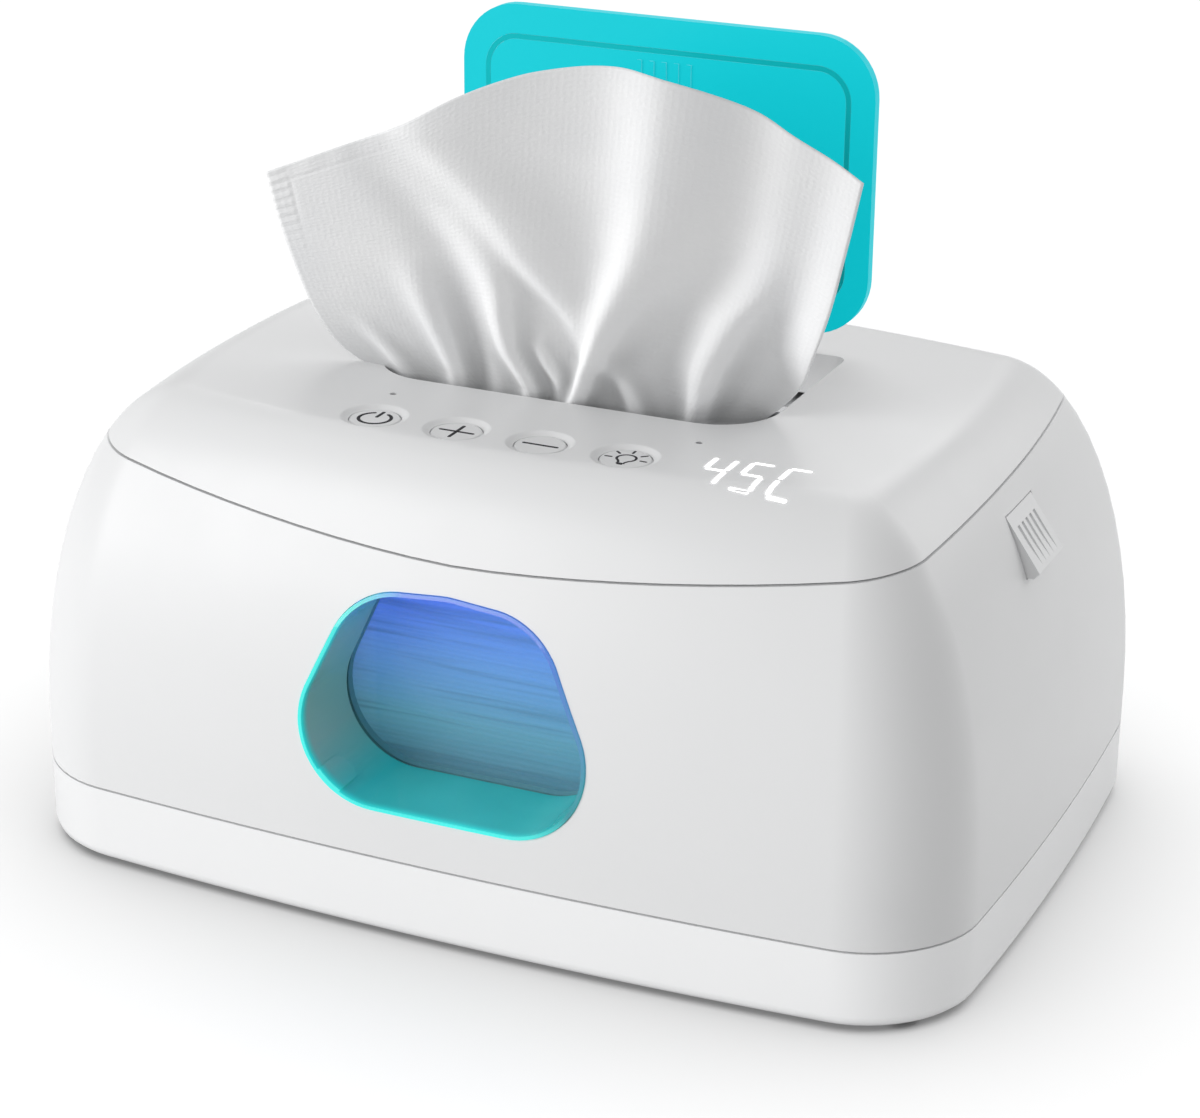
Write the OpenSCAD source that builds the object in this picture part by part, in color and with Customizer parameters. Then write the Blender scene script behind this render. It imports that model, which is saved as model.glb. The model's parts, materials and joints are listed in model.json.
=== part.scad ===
// Baby wipe warmer: a heated box with a hinged top cover, a flip lid over the
// dispensing opening, a tinted window in the front and a button row on top.
// Millimetres. The origin is the centre of the footprint on the table, +X is to
// the right of the button side, +Y to the back and +Z up. The flip lid is open.

/* [Housing] */
// Width of the housing at its widest level
body_w = 230; // [215:1:245]
// Depth of the housing at its widest level
body_d = 164.8; // [158:0.2:176]
// Height of the flat top above the table
body_h = 109.3; // [98:0.1:123]
// Thickness of the outer walls
wall = 2.5; // [2:0.1:3]
// Radius of the upright corners in plan
corner_r = 23.6; // [20:0.1:28]
// How far the front and rear bulge out at their middle
front_crown = 5.3; // [3:0.1:6]
// How far the two ends bulge out at their middle
side_crown = 3.2; // [2:0.1:4]
// Level at which the walls start to curve inwards
shoulder_z = 28.8; // [25:0.1:34]
// How far the rounded shoulder draws in at the ends
shoulder_x = 31; // [28:0.5:33]
// How far the rounded shoulder draws in at the front and rear
shoulder_y = 24; // [22:0.5:25]
// Open line between housing parts
seam_gap = 0.5; // [0.3:0.1:0.8]

/* [Base] */
// Level of the seam between the base tray and the body shell
base_seam_z = 19.4; // [18:0.1:22]
// Rounding of the bottom edge
bottom_round = 3.4; // [2:0.1:4]
// Thickness of the base floor
base_floor = 2.2; // [1.8:0.1:3]
// Height of the rubber feet below the base
foot_proud = 0.8; // [0.5:0.1:1.2]
// Radius of a rubber foot
foot_r = 8; // [6:0.5:9]
// Depth of the pocket that holds a foot
foot_pocket = 1.2; // [0.8:0.1:1.4]
// Distance of the feet from the housing's two ends
foot_in_x = 29; // [27:1:39]
// Distance of the feet from the housing's front and rear
foot_in_y = 28.4; // [27:0.2:36]
// Depth of the lip that locates the body shell on the base
lip_h = 4; // [3:0.5:6]

/* [Top seam] */
// Depth of the seam between body and cover below the top, at the front middle
seam_front_drop = 21.4; // [19.8:0.1:23.3]
// Depth of that seam below the top at the front corners
seam_corner_drop = 11.1; // [10.3:0.1:12.3]
// Depth of that seam below the top along the rear
seam_rear_drop = 8.5; // [7.8:0.1:9.3]
// Power of the curve that the seam follows across the front
seam_power = 1.56; // [1.3:0.01:2]

/* [Window] */
// Width of the window
window_w = 69; // [64:0.5:72]
// Distance of the window's upper edge below the top
window_drop = 27.7; // [26.6:0.1:30.6]
// Level of the window's lower edge
window_z = 30.7; // [29:0.1:32]
// Radius of the window's lower corners
window_low_r = 18.5; // [16:0.5:20]
// Radius of the window's upper shoulders
window_top_r = 18.5; // [16:0.5:20]
// Width between the centres of the upper shoulders
window_top_w = 20; // [16:0.5:24]
// Thickness of the tinted sleeve
sleeve_t = 1; // [0.8:0.1:2]
// How far the sleeve's rim stands out of the front
sleeve_proud = 0.35; // [0.2:0.05:0.6]
// Thickness of the clear pane behind the sleeve
pane_t = 1.5; // [1:0.1:2]
// Thickness of the silicone seal behind the pane
window_seal_t = 2; // [1.5:0.1:2.5]

/* [Chamber] */
// Room between the chamber and the housing's widest level, at each end
bin_room_x = 25; // [24.5:0.5:28]
// Room between the chamber and the housing's widest level, front and rear alike
bin_room_y = 27.9; // [27.4:0.1:29]
// Distance of the chamber's middle behind the middle of the housing
bin_y = -1; // [-1.5:0.5:1]
// Thickness of the chamber's walls
bin_t = 1.8; // [1.5:0.1:2]
// Radius of the chamber's upright corners inside
bin_r = 14; // [10:0.5:18]
// Level of the chamber's floor, underside
bin_z = 22; // [21.5:0.1:23]
// Distance of the chamber's rim below the top
bin_drop = 22; // [21.8:0.1:22.5]
// Thickness of the rim flange that closes the gap to the body shell
flange_t = 1.8; // [1.4:0.1:2]
// Clearance of loose seats between still parts
seat = 0.3; // [0.2:0.05:0.4]

/* [Wipes] */
// Room between the stack of folded wipes and the chamber, at each end
stack_gap_x = 1; // [0.5:0.5:12]
// Room between the stack and the chamber, front and rear alike
stack_gap_y = 2.5; // [1.5:0.5:6]
// Room above the stack, up to the chamber's rim
stack_room = 3.5; // [3.5:0.5:33.5]
// Thickness of the pulled-up wipe as a solid
wipe_t = 1; // [0.8:0.1:1.4]
// Half width of the wipe where it leaves the opening
wipe_foot = 44; // [38:0.5:44.5]
// Half width of the wipe at its top
wipe_head = 71; // [60:1:72]
// Distance of the wipe behind the front edge of the opening
wipe_in = 11; // [10:0.5:14]
// Height of the pulled-up wipe above the top
wipe_rise = 72.7; // [50:0.1:74]

/* [Heater] */
// Thickness of the aluminium heat spreader
heat_plate_t = 1; // [0.8:0.1:1.5]
// Thickness of the heating film
heat_film_t = 0.4; // [0.3:0.1:0.6]
// Distance of the heat spreader's edge from the two ends of the chamber
heat_in_x = 6; // [5:1:14]
// Distance of the heat spreader's edge from the front and rear of the chamber
heat_in_y = 7.5; // [5.5:0.5:12]
// Thickness of the foam under the heater
foam_t = 8; // [6:0.5:9]
// Radius of the thermal cut-out
cutout_r = 4; // [3:0.5:5]

/* [Cover opening] */
// Width of the dispensing opening
opening_w = 97; // [92:0.5:98]
// Distance of the opening's front edge from the housing's widest level
opening_in_front = 57.9; // [56.4:0.5:58.9]
// Distance of the opening's rear edge from the housing's widest level
opening_in_rear = 49.4; // [48.9:0.5:51.4]
// Radius of the opening's front corners
opening_r = 15; // [12:0.5:16]
// Radius of the opening's rear corners
opening_rear_r = 3; // [2:0.5:15]
// Thickness of the collar round the opening
collar_t = 1.6; // [1.2:0.1:2]
// Depth of that collar below the top
collar_h = 10; // [8:0.5:11]
// Width of the liner's ledge inside the opening
ledge = 4; // [3:0.5:5]

/* [Cover liner] */
// Distance of the liner's underside below the top
liner_drop = 14.3; // [13.8:0.1:14.8]
// Thickness of the liner
liner_t = 1.6; // [1.4:0.1:1.8]
// Room between the liner and the housing's widest level, at each end
liner_room_x = 23.5; // [23.5:0.5:26]
// Room between the liner and the housing's widest level, front and rear alike
liner_room_y = 19.9; // [19.4:0.1:22]
// How far the liner's skirt reaches down into the chamber
skirt_h = 8.5; // [7.5:0.1:9]
// Room between the skirt and the chamber wall, filled by the seal
skirt_gap = 1.5; // [1.2:0.1:1.8]

/* [Flip lid] */
// Width of the flip lid
lid_w = 103.4; // [100:0.2:106]
// How much longer the flip lid is than the opening, from hinge edge to front edge
lid_over = 12.5; // [11:0.5:14]
// Thickness of the flip lid
lid_t = 2.7; // [2.4:0.1:3.2]
// Corner radius of the flip lid
lid_r = 14; // [10:0.5:16]
// Distance of the lid hinge behind the opening
lid_hinge_in = 5.3; // [5.2:0.1:6.5]
// Gap under the closed lid
lid_gap = 0.2; // [0.15:0.05:0.4]
// Radius of the lid's hinge barrel
lid_barrel_r = 2.2; // [2:0.1:2.4]
// Length of the lid's hinge barrel
lid_barrel_l = 46; // [36:1:50]
// Radius of the lid's hinge pin
lid_pin_r = 1; // [0.8:0.1:1.2]
// Distance of the seal groove from the lid's long edges
seal_inset = 6.4; // [5:0.1:9]
// Width of the seal in the lid
seal_w = 1.3; // [1:0.1:1.8]
// Depth of the groove for the seal
seal_depth = 0.9; // [0.6:0.1:1.2]
// Number of finger ribs inside the lid
rib_n = 5; // [3:1:7]
// Spacing of the finger ribs
rib_pitch = 3.1; // [2.4:0.1:4]
// Length of a finger rib
rib_l = 12; // [8:0.5:16]

/* [Cover hinge] */
// Radius of the hinge knuckles at the rear
knuckle_r = 3.4; // [3:0.1:3.6]
// Length of one knuckle
knuckle_l = 7.6; // [6:0.1:9]
// Distance of each hinge from the middle
hinge_x = 40; // [30:1:50]
// Radius of the cover's hinge pins
hinge_pin_r = 1.25; // [1:0.05:1.5]
// Radial clearance of a pin in its bore
pin_fit = 0.05; // [0.02:0.01:0.08]
// Gap between neighbouring knuckles
knuckle_gap = 0.4; // [0.3:0.05:0.6]

/* [Buttons] */
// Spacing of the four buttons
button_pitch = 20; // [18:0.5:20.5]
// Distance of the middle of the button row from the display end of the housing
button_in_x = 115.8; // [114:0.1:118]
// Distance of the button row from the housing's widest level at the front
button_in = 32.1; // [32:0.1:33.5]
// Radius of the round dish about a button
dish_r = 7.8; // [7:0.1:8.6]
// Depth of that dish
dish_h = 0.8; // [0.5:0.05:1]
// Radius of a button cap
cap_r = 5.75; // [5:0.05:6]
// Gap round a button cap
cap_gap = 0.15; // [0.15:0.05:0.3]
// Travel of a button
button_travel = 0.7; // [0.4:0.1:0.9]

/* [Latches] */
// Width of a side latch button
latch_w = 17.8; // [15:0.1:19]
// Distance of a side latch's upper edge below the top
latch_drop = 15; // [14.8:0.1:16.3]
// Height of a side latch
latch_h = 13; // [11:0.5:14]
// Distance of the latches ahead of the middle
latch_y = 3.7; // [0:0.1:6]
// How far the lower end of a latch stands out
latch_proud = 2.6; // [2:0.1:3]
// Inward travel of a latch
latch_travel = 1.2; // [0.8:0.1:1.3]
// Gap round a latch in its hole
latch_gap = 0.3; // [0.25:0.05:0.4]
// Number of grip grooves on a latch
grip_n = 5; // [3:1:6]

/* [Electronics] */
// Thickness of the circuit boards
board_t = 1.6; // [1:0.1:1.6]
// Depth of the control board under the buttons
control_d = 26; // [24:1:27]
// Width of the power board
power_w = 100; // [90:1:110]
// Room above the power board, up to the chamber's rim
power_room = 13.3; // [11.3:0.1:21.3]
// Length of the night light board
light_w = 56; // [40:1:60]
// Width of the number display
display_w = 25.4; // [20:0.2:25.8]
// Depth of the number display
display_d = 13.4; // [9:0.2:13.6]
// Distance of the number display's middle from its end of the housing
display_in = 58.5; // [58.4:0.1:59]
// Bore of the cord gland
gland_bore = 3.1; // [2.5:0.1:3.5]
// Middle of the cord gland, to the left seen from the front
gland_x = 60; // [40:1:70]

/* [Hidden] */
$fn = 48;

white = [0.93, 0.93, 0.94];
teal = [0.14, 0.82, 0.86];
grey = [0.35, 0.36, 0.38];
board_green = [0.1, 0.4, 0.22];
metal = [0.75, 0.76, 0.78];

// Counts of points along a quarter of a ring: end wall, corner and long wall
END_N = 6;
CORNER_N = 12;
LONG_N = 9;
QUARTER_N = END_N + CORNER_N + LONG_N;
RING_N = 4 * QUARTER_N;
// Steps up the rounded shoulder, for the body and for the cover
BODY_STEPS = 10;
COVER_STEPS = 9;

shoulder_h = body_h - shoulder_z;
seam_half = seam_gap / 2;
seam_front_z = body_h - seam_front_drop;
seam_corner_z = body_h - seam_corner_drop;
seam_rear_z = body_h - seam_rear_drop;
window_h = body_h - window_drop - window_z;
bin_top = body_h - bin_drop;
stack_h = bin_top - bin_z - bin_t - stack_room;
wipe_top = body_h + wipe_rise;
liner_z = body_h - liner_drop;
latch_top = body_h - latch_drop;
// Room left for the flat facets of the curved shells
CHORD = 0.6;
foot_x = body_w / 2 - foot_in_x;
foot_y = body_d / 2 - foot_in_y;
bin_w = body_w - 2 * bin_room_x;
bin_d = body_d - 2 * bin_room_y;
stack_w = bin_w - 2 * stack_gap_x;
stack_d = bin_d - 2 * stack_gap_y;
heat_w = bin_w - 2 * heat_in_x;
heat_d = bin_d - 2 * heat_in_y;
liner_w = body_w - 2 * liner_room_x;
liner_d = body_d - 2 * liner_room_y;
skirt_w = bin_w - 2 * skirt_gap;
skirt_d = bin_d - 2 * skirt_gap;
opening_front = body_d / 2 - opening_in_front;
opening_rear = body_d / 2 - opening_in_rear;
opening_d = opening_front + opening_rear;
lid_hinge_y = opening_rear + lid_hinge_in;
lid_l = opening_d + lid_over;
button_y = body_d / 2 - button_in;
button_x = body_w / 2 - button_in_x;
display_x = body_w / 2 - display_in;
// Share by which the corner radius shrinks as the outline draws in
CORNER_SHRINK = 0.95;
// Growth of the crowns as the outline draws in
FRONT_CROWN_GROWTH = 0.15;
SIDE_CROWN_GROWTH = 0.07;
LEAST_CORNER = 3;
// Angle up the shoulder at which the seam's plan is taken
SEAM_ANGLE = 60;

// Outlines of the housing

function quarter_point(j, a, b, r) =
    j < END_N ? [a, (b - r) * j / END_N] :
    j <= END_N + CORNER_N ?
        [a - r + r * cos((j - END_N) * 90 / CORNER_N), b - r + r * sin((j - END_N) * 90 / CORNER_N)] :
    [(a - r) * (QUARTER_N - j) / LONG_N, b];

function flat_point(i, a, b, r) =
    let (
        q = floor(i / QUARTER_N),
        j = i % QUARTER_N,
        p = quarter_point(q % 2 == 0 ? j : QUARTER_N - j, a, b, r)
    )
    [q == 1 || q == 2 ? -p[0] : p[0], q >= 2 ? -p[1] : p[1]];

function crowned(p, a, b, side, front) =
    [p[0] * (1 - side * pow(p[1] / b, 2) / a), p[1] * (1 - front * pow(p[0] / a, 2) / b)];

// Point i of the outline, drawn in by dx and dy and then by t all round
function outline_point(i, dx, dy, t) =
    let (
        a = body_w / 2 - dx - t,
        b = body_d / 2 - dy - t,
        r = max(LEAST_CORNER, corner_r - t - CORNER_SHRINK * min(dx, dy))
    )
    crowned(
        flat_point(i, a, b, r), a, b,
        side_crown + SIDE_CROWN_GROWTH * dy, front_crown + FRONT_CROWN_GROWTH * dx
    );

function outline(dx, dy, t) = [for (i = [0 : RING_N - 1]) outline_point(i, dx, dy, t)];

// Outline of the housing at the angle phi up the shoulder
function shoulder_point(i, phi, t) =
    concat(
        outline_point(i, shoulder_x * (1 - cos(phi)), shoulder_y * (1 - cos(phi)), t),
        [shoulder_z + (shoulder_h - t) * sin(phi)]
    );

function angle_at(z, t = 0) = asin(max(0, min(1, (z - shoulder_z) / (shoulder_h - t))));
function skin_x(z) = body_w / 2 - shoulder_x * (1 - cos(angle_at(z)));
// Inner face of the end wall at its middle
function inner_x(z) = body_w / 2 - shoulder_x * (1 - cos(angle_at(z, wall))) - wall;
function skin_y(z) = body_d / 2 - shoulder_y * (1 - cos(angle_at(z)));

// Level of the top seam at point i: it dips across the front and is level at the rear
function seam_z(i) =
    let (
        p = shoulder_point(i, SEAM_ANGLE, 0),
        across = min(1, abs(p[0]) / skin_x(p[2])),
        along = max(0, min(1, (p[1] / skin_y(p[2]) + 1) / 2)),
        front = seam_front_z + (seam_corner_z - seam_front_z) * pow(across, seam_power),
        rise = (seam_rear_z - seam_corner_z) * along
    )
    p[1] < 0 ? front + rise * pow(across, 8) : seam_corner_z + rise;

function level_ring(z, dx, dy, t) =
    [for (i = [0 : RING_N - 1]) concat(outline_point(i, dx, dy, t), [z])];

// Ring number k of the shoulder below the seam, and above it
function below_ring(k, t) =
    [for (i = [0 : RING_N - 1])
        shoulder_point(i, angle_at(seam_z(i) - seam_half, t) * k / BODY_STEPS, t)];
function above_ring(k, t) =
    [for (i = [0 : RING_N - 1])
        let (low = angle_at(seam_z(i) + seam_half, t))
        shoulder_point(i, low + (90 - low) * k / COVER_STEPS, t)];

// Skins the rings in turn, and either closes the last on the first or caps both ends
module loft(rings, closed = false) {
    n = len(rings[0]);
    last = closed ? len(rings) - 1 : len(rings) - 2;
    walls = [
        for (s = [0 : last], i = [0 : n - 1])
            let (p = s * n, q = (s + 1) % len(rings) * n, j = (i + 1) % n)
            each [[p + i, q + i, q + j], [p + i, q + j, p + j]]
    ];
    caps = closed ? [] : [
        [for (i = [0 : n - 1]) i],
        [for (i = [n - 1 : -1 : 0]) (len(rings) - 1) * n + i]
    ];
    polyhedron([for (ring = rings) each ring], concat(walls, caps), convexity = 8);
}

// Small helpers

module rounded_plate(w, d, r, h) {
    linear_extrude(h) rounded_outline(w, d, r);
}

module rounded_outline(w, d, r) {
    hull() {
        for (x = [-1, 1], y = [-1, 1]) {
            translate([x * (w / 2 - r), y * (d / 2 - r)]) circle(r);
        }
    }
}

module along_x(x, y, z, r, l) {
    translate([x - l / 2, y, z]) rotate([0, 90, 0]) cylinder(r = r, h = l);
}

module along_y(x, y, z, r, l) {
    translate([x, y + l, z]) rotate([90, 0, 0]) cylinder(r = r, h = l);
}

// Extrudes an outline drawn in X and Z along Y, from y to y - depth
module from_front(y, depth) {
    translate([0, y, 0]) rotate([90, 0, 0]) linear_extrude(depth) children();
}

// A round wire through the points
module wire(points, r) {
    $fn = 8;
    for (k = [0 : len(points) - 2]) {
        leg = points[k + 1] - points[k];
        translate(points[k]) {
            sphere(r);
            rotate([0, acos(leg[2] / norm(leg)), atan2(leg[1], leg[0])]) cylinder(r = r, h = norm(leg));
        }
    }
    translate(points[len(points) - 1]) sphere(r);
}

// Base tray

base_rim = base_seam_z - seam_half;
floor_z = foot_proud + base_floor;
POST_R = 4;
// How far the post sinks into the corner wall
POST_SINK = 0.8;
SCREW_R = 1.25;
PILOT_R = 1.35;
film_z = bin_z - heat_plate_t - heat_film_t;
foam_z = film_z - foam_t;
boss_top = base_rim;
// Middle of the corner posts, on the diagonal of the rounded corner
post_in = corner_r - wall - (corner_r - wall - POST_R + POST_SINK) / sqrt(2);
post_at = crowned(
    [body_w / 2 - wall - post_in, body_d / 2 - wall - post_in],
    body_w / 2, body_d / 2, side_crown, front_crown
);
POST_TOP = shoulder_z + 17.2;
BOSS_LOW = 1.6;
RIB_T = 2;
gland_z = foot_proud + 9.7;
GLAND_NECK_R = 4.8;
GLAND_FLANGE_R = 6.5;
GLAND_FLANGE_T = 1.5;
gland_face = outline_point(QUARTER_N, 0, 0, 0)[1] - front_crown * pow(gland_x / (body_w / 2), 2);

gland_inner = gland_face - 0.7 - wall;

module at_corners(x, y) {
    for (sx = [-1, 1], sy = [-1, 1]) {
        translate([sx * x, sy * y, 0]) children();
    }
}

module base_shell() {
    round_in = function (s) bottom_round * (1 - sin(s));
    round_up = function (s) bottom_round * (1 - cos(s));
    loft([
        for (s = [0, 30, 60, 90]) level_ring(foot_proud + round_up(s), round_in(s), round_in(s), 0),
        level_ring(base_rim, 0, 0, 0),
        level_ring(base_rim, 0, 0, wall),
        level_ring(floor_z + bottom_round, 0, 0, wall),
        level_ring(floor_z, bottom_round, bottom_round, wall)
    ]);
}

module locating_lip() {
    lip_t = 1.5;
    difference() {
        union() {
            translate([0, 0, base_rim - lip_h - seam_gap])
                linear_extrude(lip_h) polygon(outline(0, 0, wall - 0.1));
            translate([0, 0, base_rim - lip_h])
                linear_extrude(2 * lip_h) polygon(outline(0, 0, wall + seat));
        }
        translate([0, 0, base_rim - 2 * lip_h])
            linear_extrude(4 * lip_h) polygon(outline(0, 0, wall + seat + lip_t));
        at_corners(post_at[0], post_at[1]) cylinder(r = POST_R + 2 * seat, h = body_h);
        along_y(-gland_x, gland_face - 12, gland_z, GLAND_FLANGE_R + 1, 12);
    }
}

module base_tray() {
    color(white) difference() {
        union() {
            base_shell();
            locating_lip();
            at_corners(post_at[0], post_at[1])
                translate([0, 0, foot_proud + BOSS_LOW])
                    cylinder(r = POST_R, h = boss_top - foot_proud - BOSS_LOW);
            for (x = [-heat_w / 3, 0, heat_w / 3]) {
                translate([x - RIB_T / 2, -heat_d / 2, floor_z - 0.5])
                    cube([RIB_T, heat_d, foam_z - floor_z + 0.5]);
            }
            for (y = [-heat_d / 3, heat_d / 3]) {
                translate([-heat_w / 2, y - RIB_T / 2, floor_z - 0.5])
                    cube([heat_w, RIB_T, foam_z - floor_z + 0.5]);
            }
        }
        at_corners(foot_x, foot_y) cylinder(r = foot_r + 0.1, h = foot_proud + foot_pocket);
        at_corners(post_at[0], post_at[1]) {
            cylinder(r = SCREW_R + 0.4, h = boss_top + 1);
            cylinder(r = 3.2, h = foot_proud + 4);
        }
        along_y(-gland_x, gland_face - 14, gland_z, GLAND_NECK_R + 0.1, 20);
        along_y(-gland_x, gland_face - 0.3, gland_z, GLAND_FLANGE_R + 0.2, 10);
        along_y(-gland_x, gland_inner - 5, gland_z, GLAND_FLANGE_R + 0.2, 5);
    }
}

module base_feet() {
    color(grey) at_corners(foot_x, foot_y) cylinder(r = foot_r, h = foot_proud + foot_pocket);
}

module base_screws() {
    color(metal) at_corners(post_at[0], post_at[1]) {
        translate([0, 0, foot_proud + 2]) cylinder(r = 2.6, h = 2);
        translate([0, 0, foot_proud + 4]) cylinder(r = SCREW_R, h = 24);
    }
}

module cord_gland() {
    color(grey) difference() {
        union() {
            along_y(-gland_x, gland_face - 0.3, gland_z, GLAND_FLANGE_R, GLAND_FLANGE_T);
            along_y(-gland_x, gland_inner - GLAND_FLANGE_T, gland_z, GLAND_NECK_R, wall + 2 * GLAND_FLANGE_T + 0.4);
            along_y(-gland_x, gland_inner - GLAND_FLANGE_T, gland_z, GLAND_FLANGE_R, GLAND_FLANGE_T - 0.2);
        }
        along_y(-gland_x, gland_inner - 8, gland_z, gland_bore, 20);
    }
}

// Window

window_mid = window_z + window_low_r;
window_rear = -(bin_d / 2 - bin_y + bin_t);
pane_y = window_rear - window_seal_t;
sleeve_rear = pane_y - pane_t;

// The bell outline of the window, grown by g all round
module bell(g) {
    top_z = window_z + window_h - window_top_r;
    hull() {
        for (s = [-1, 1]) {
            translate([s * (window_w / 2 - window_low_r), window_mid]) circle(window_low_r + g, $fn = 64);
            translate([s * window_top_w / 2, top_z - 0.8]) circle(window_top_r + g, $fn = 64);
        }
        translate([0, top_z]) circle(window_top_r + g, $fn = 64);
    }
}

// A block behind the curved front, set forward by proud
module front_block(proud) {
    cols = 10;
    rows = 8;
    x_half = window_w / 2 + 4;
    low = window_z - 4;
    high = window_z + window_h + 4;
    skin = function (x, z)
        let (
            dx = shoulder_x * (1 - cos(angle_at(z))),
            a = body_w / 2 - dx,
            side = side_crown + SIDE_CROWN_GROWTH * (body_d / 2 - skin_y(z)),
            flat_x = x / (1 - side / a)
        )
        -(skin_y(z) - (front_crown + FRONT_CROWN_GROWTH * dx) * pow(flat_x / a, 2)) - proud;
    loft([
        for (k = [0 : rows])
            let (z = low + (high - low) * k / rows)
            concat(
                [for (c = [0 : cols])
                    let (x = -x_half + 2 * x_half * c / cols)
                    [x, skin(x, z), z]],
                [[x_half, sleeve_rear, z], [-x_half, sleeve_rear, z]]
            )
    ]);
}

TAB_T = 0.5;
TAB_R = 3.3;
TAB_TURN = 218;

// The round-ended tab inside the sleeve, low at the left
module sleeve_tab() {
    intersection() {
        from_front(sleeve_rear, body_d / 2) difference() {
            bell(-sleeve_t / 2);
            bell(-sleeve_t - TAB_T);
        }
        translate([window_low_r - window_w / 2, 0, window_mid]) rotate([0, TAB_TURN, 0])
            linear_extrude(window_low_r + 1) hull() {
                translate([0, 6.5 - skin_y(window_z)]) circle(TAB_R);
                translate([0, -body_d]) circle(TAB_R);
            }
    }
}

module window_sleeve() {
    color([0.2, 0.8, 0.8, 0.6]) intersection() {
        front_block(sleeve_proud);
        union() {
            difference() {
                from_front(sleeve_rear, body_d / 2) bell(-0.15);
                from_front(sleeve_rear + 1, body_d / 2 + 2) bell(-sleeve_t);
            }
            // Snap hooks behind the wall, one on each side and two below
            for (s = [-1, 1]) {
                translate([s * window_w / 2 - 0.8, -skin_y(window_mid) + wall + 1.2, window_mid - 3])
                    cube([1.6, 3, 6]);
                translate([s * window_w / 5 - 3, -skin_y(window_z) + wall + 1.2, window_z - 0.8])
                    cube([6, 3, 1.6]);
            }
            sleeve_tab();
        }
    }
}

module window_pane() {
    color([0.7, 0.9, 1, 0.4]) from_front(pane_y, pane_t) bell(1);
}

module window_seal() {
    color([0.9, 0.9, 0.9]) difference() {
        from_front(window_rear, window_seal_t) bell(2.4);
        from_front(window_rear + 1, window_seal_t + 2) bell(-0.6);
    }
}

// Body shell

hinge_z = seam_rear_z;
hinge_y = skin_y(seam_rear_z) + 0.8;
// Middles of the knuckles on one side: the body holds the outer two, the cover the middle one
knuckle_step = knuckle_l + knuckle_gap;

module body_knuckles(grow) {
    for (s = [-1, 1], k = [-1, 1]) {
        along_x(s * hinge_x + k * knuckle_step, hinge_y, hinge_z, knuckle_r + grow, knuckle_l + 2 * grow);
    }
}

module cover_knuckles(grow) {
    for (s = [-1, 1]) {
        along_x(s * hinge_x, hinge_y, hinge_z, knuckle_r + grow, knuckle_l + 2 * grow);
    }
}

module hinge_bores() {
    for (s = [-1, 1]) {
        along_x(s * hinge_x, hinge_y, hinge_z, hinge_pin_r + pin_fit, 3 * knuckle_l + 4 * knuckle_gap);
    }
}

module knuckle_webs() {
    web_h = 10;
    for (s = [-1, 1], k = [-1, 1]) {
        translate([s * hinge_x + k * knuckle_step - knuckle_l / 2, hinge_y - knuckle_r, hinge_z - web_h])
            cube([knuckle_l, 2 * knuckle_r, web_h]);
    }
}

module on_side(side) {
    mirror([side < 0 ? 1 : 0, 0, 0]) children();
}

module latch_hole() {
    translate([skin_x(latch_top) - wall - 6, -latch_y - latch_w / 2 - latch_gap, latch_top - latch_h - latch_gap])
        cube([40, latch_w + 2 * latch_gap, latch_h + 2 * latch_gap]);
}

module body_shell() {
    low = base_seam_z + seam_half;
    color(white) difference() {
        union() {
            loft(concat(
                [level_ring(low, 0, 0, 0)],
                [for (k = [0 : BODY_STEPS]) below_ring(k, 0)],
                [for (k = [BODY_STEPS : -1 : 0]) below_ring(k, wall)],
                [level_ring(low, 0, 0, wall)]
            ), closed = true);
            at_corners(post_at[0], post_at[1])
                translate([0, 0, low]) cylinder(r = POST_R, h = POST_TOP - low);
            body_knuckles(0);
            knuckle_webs();
        }
        from_front(-body_d / 4, body_d) bell(0);
        for (side = [-1, 1]) on_side(side) latch_hole();
        cover_knuckles(knuckle_gap);
        hinge_bores();
        at_corners(post_at[0], post_at[1]) cylinder(r = PILOT_R, h = foot_proud + 30);
    }
}

module cover_hinge_pins() {
    color(metal) for (s = [-1, 1]) {
        along_x(s * hinge_x, hinge_y, hinge_z, hinge_pin_r, 3 * knuckle_l + 2 * knuckle_gap);
    }
}

// Chamber and its heater

bin_out_w = bin_w + 2 * bin_t;
bin_out_d = bin_d + 2 * bin_t;
RIBBON_W = 20;
ribbon_slot_y = hinge_y - 12;
PLATE_T = 1.5;
latch_plate_x = inner_x(latch_top + 1) - CHORD - 0.3;

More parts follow.
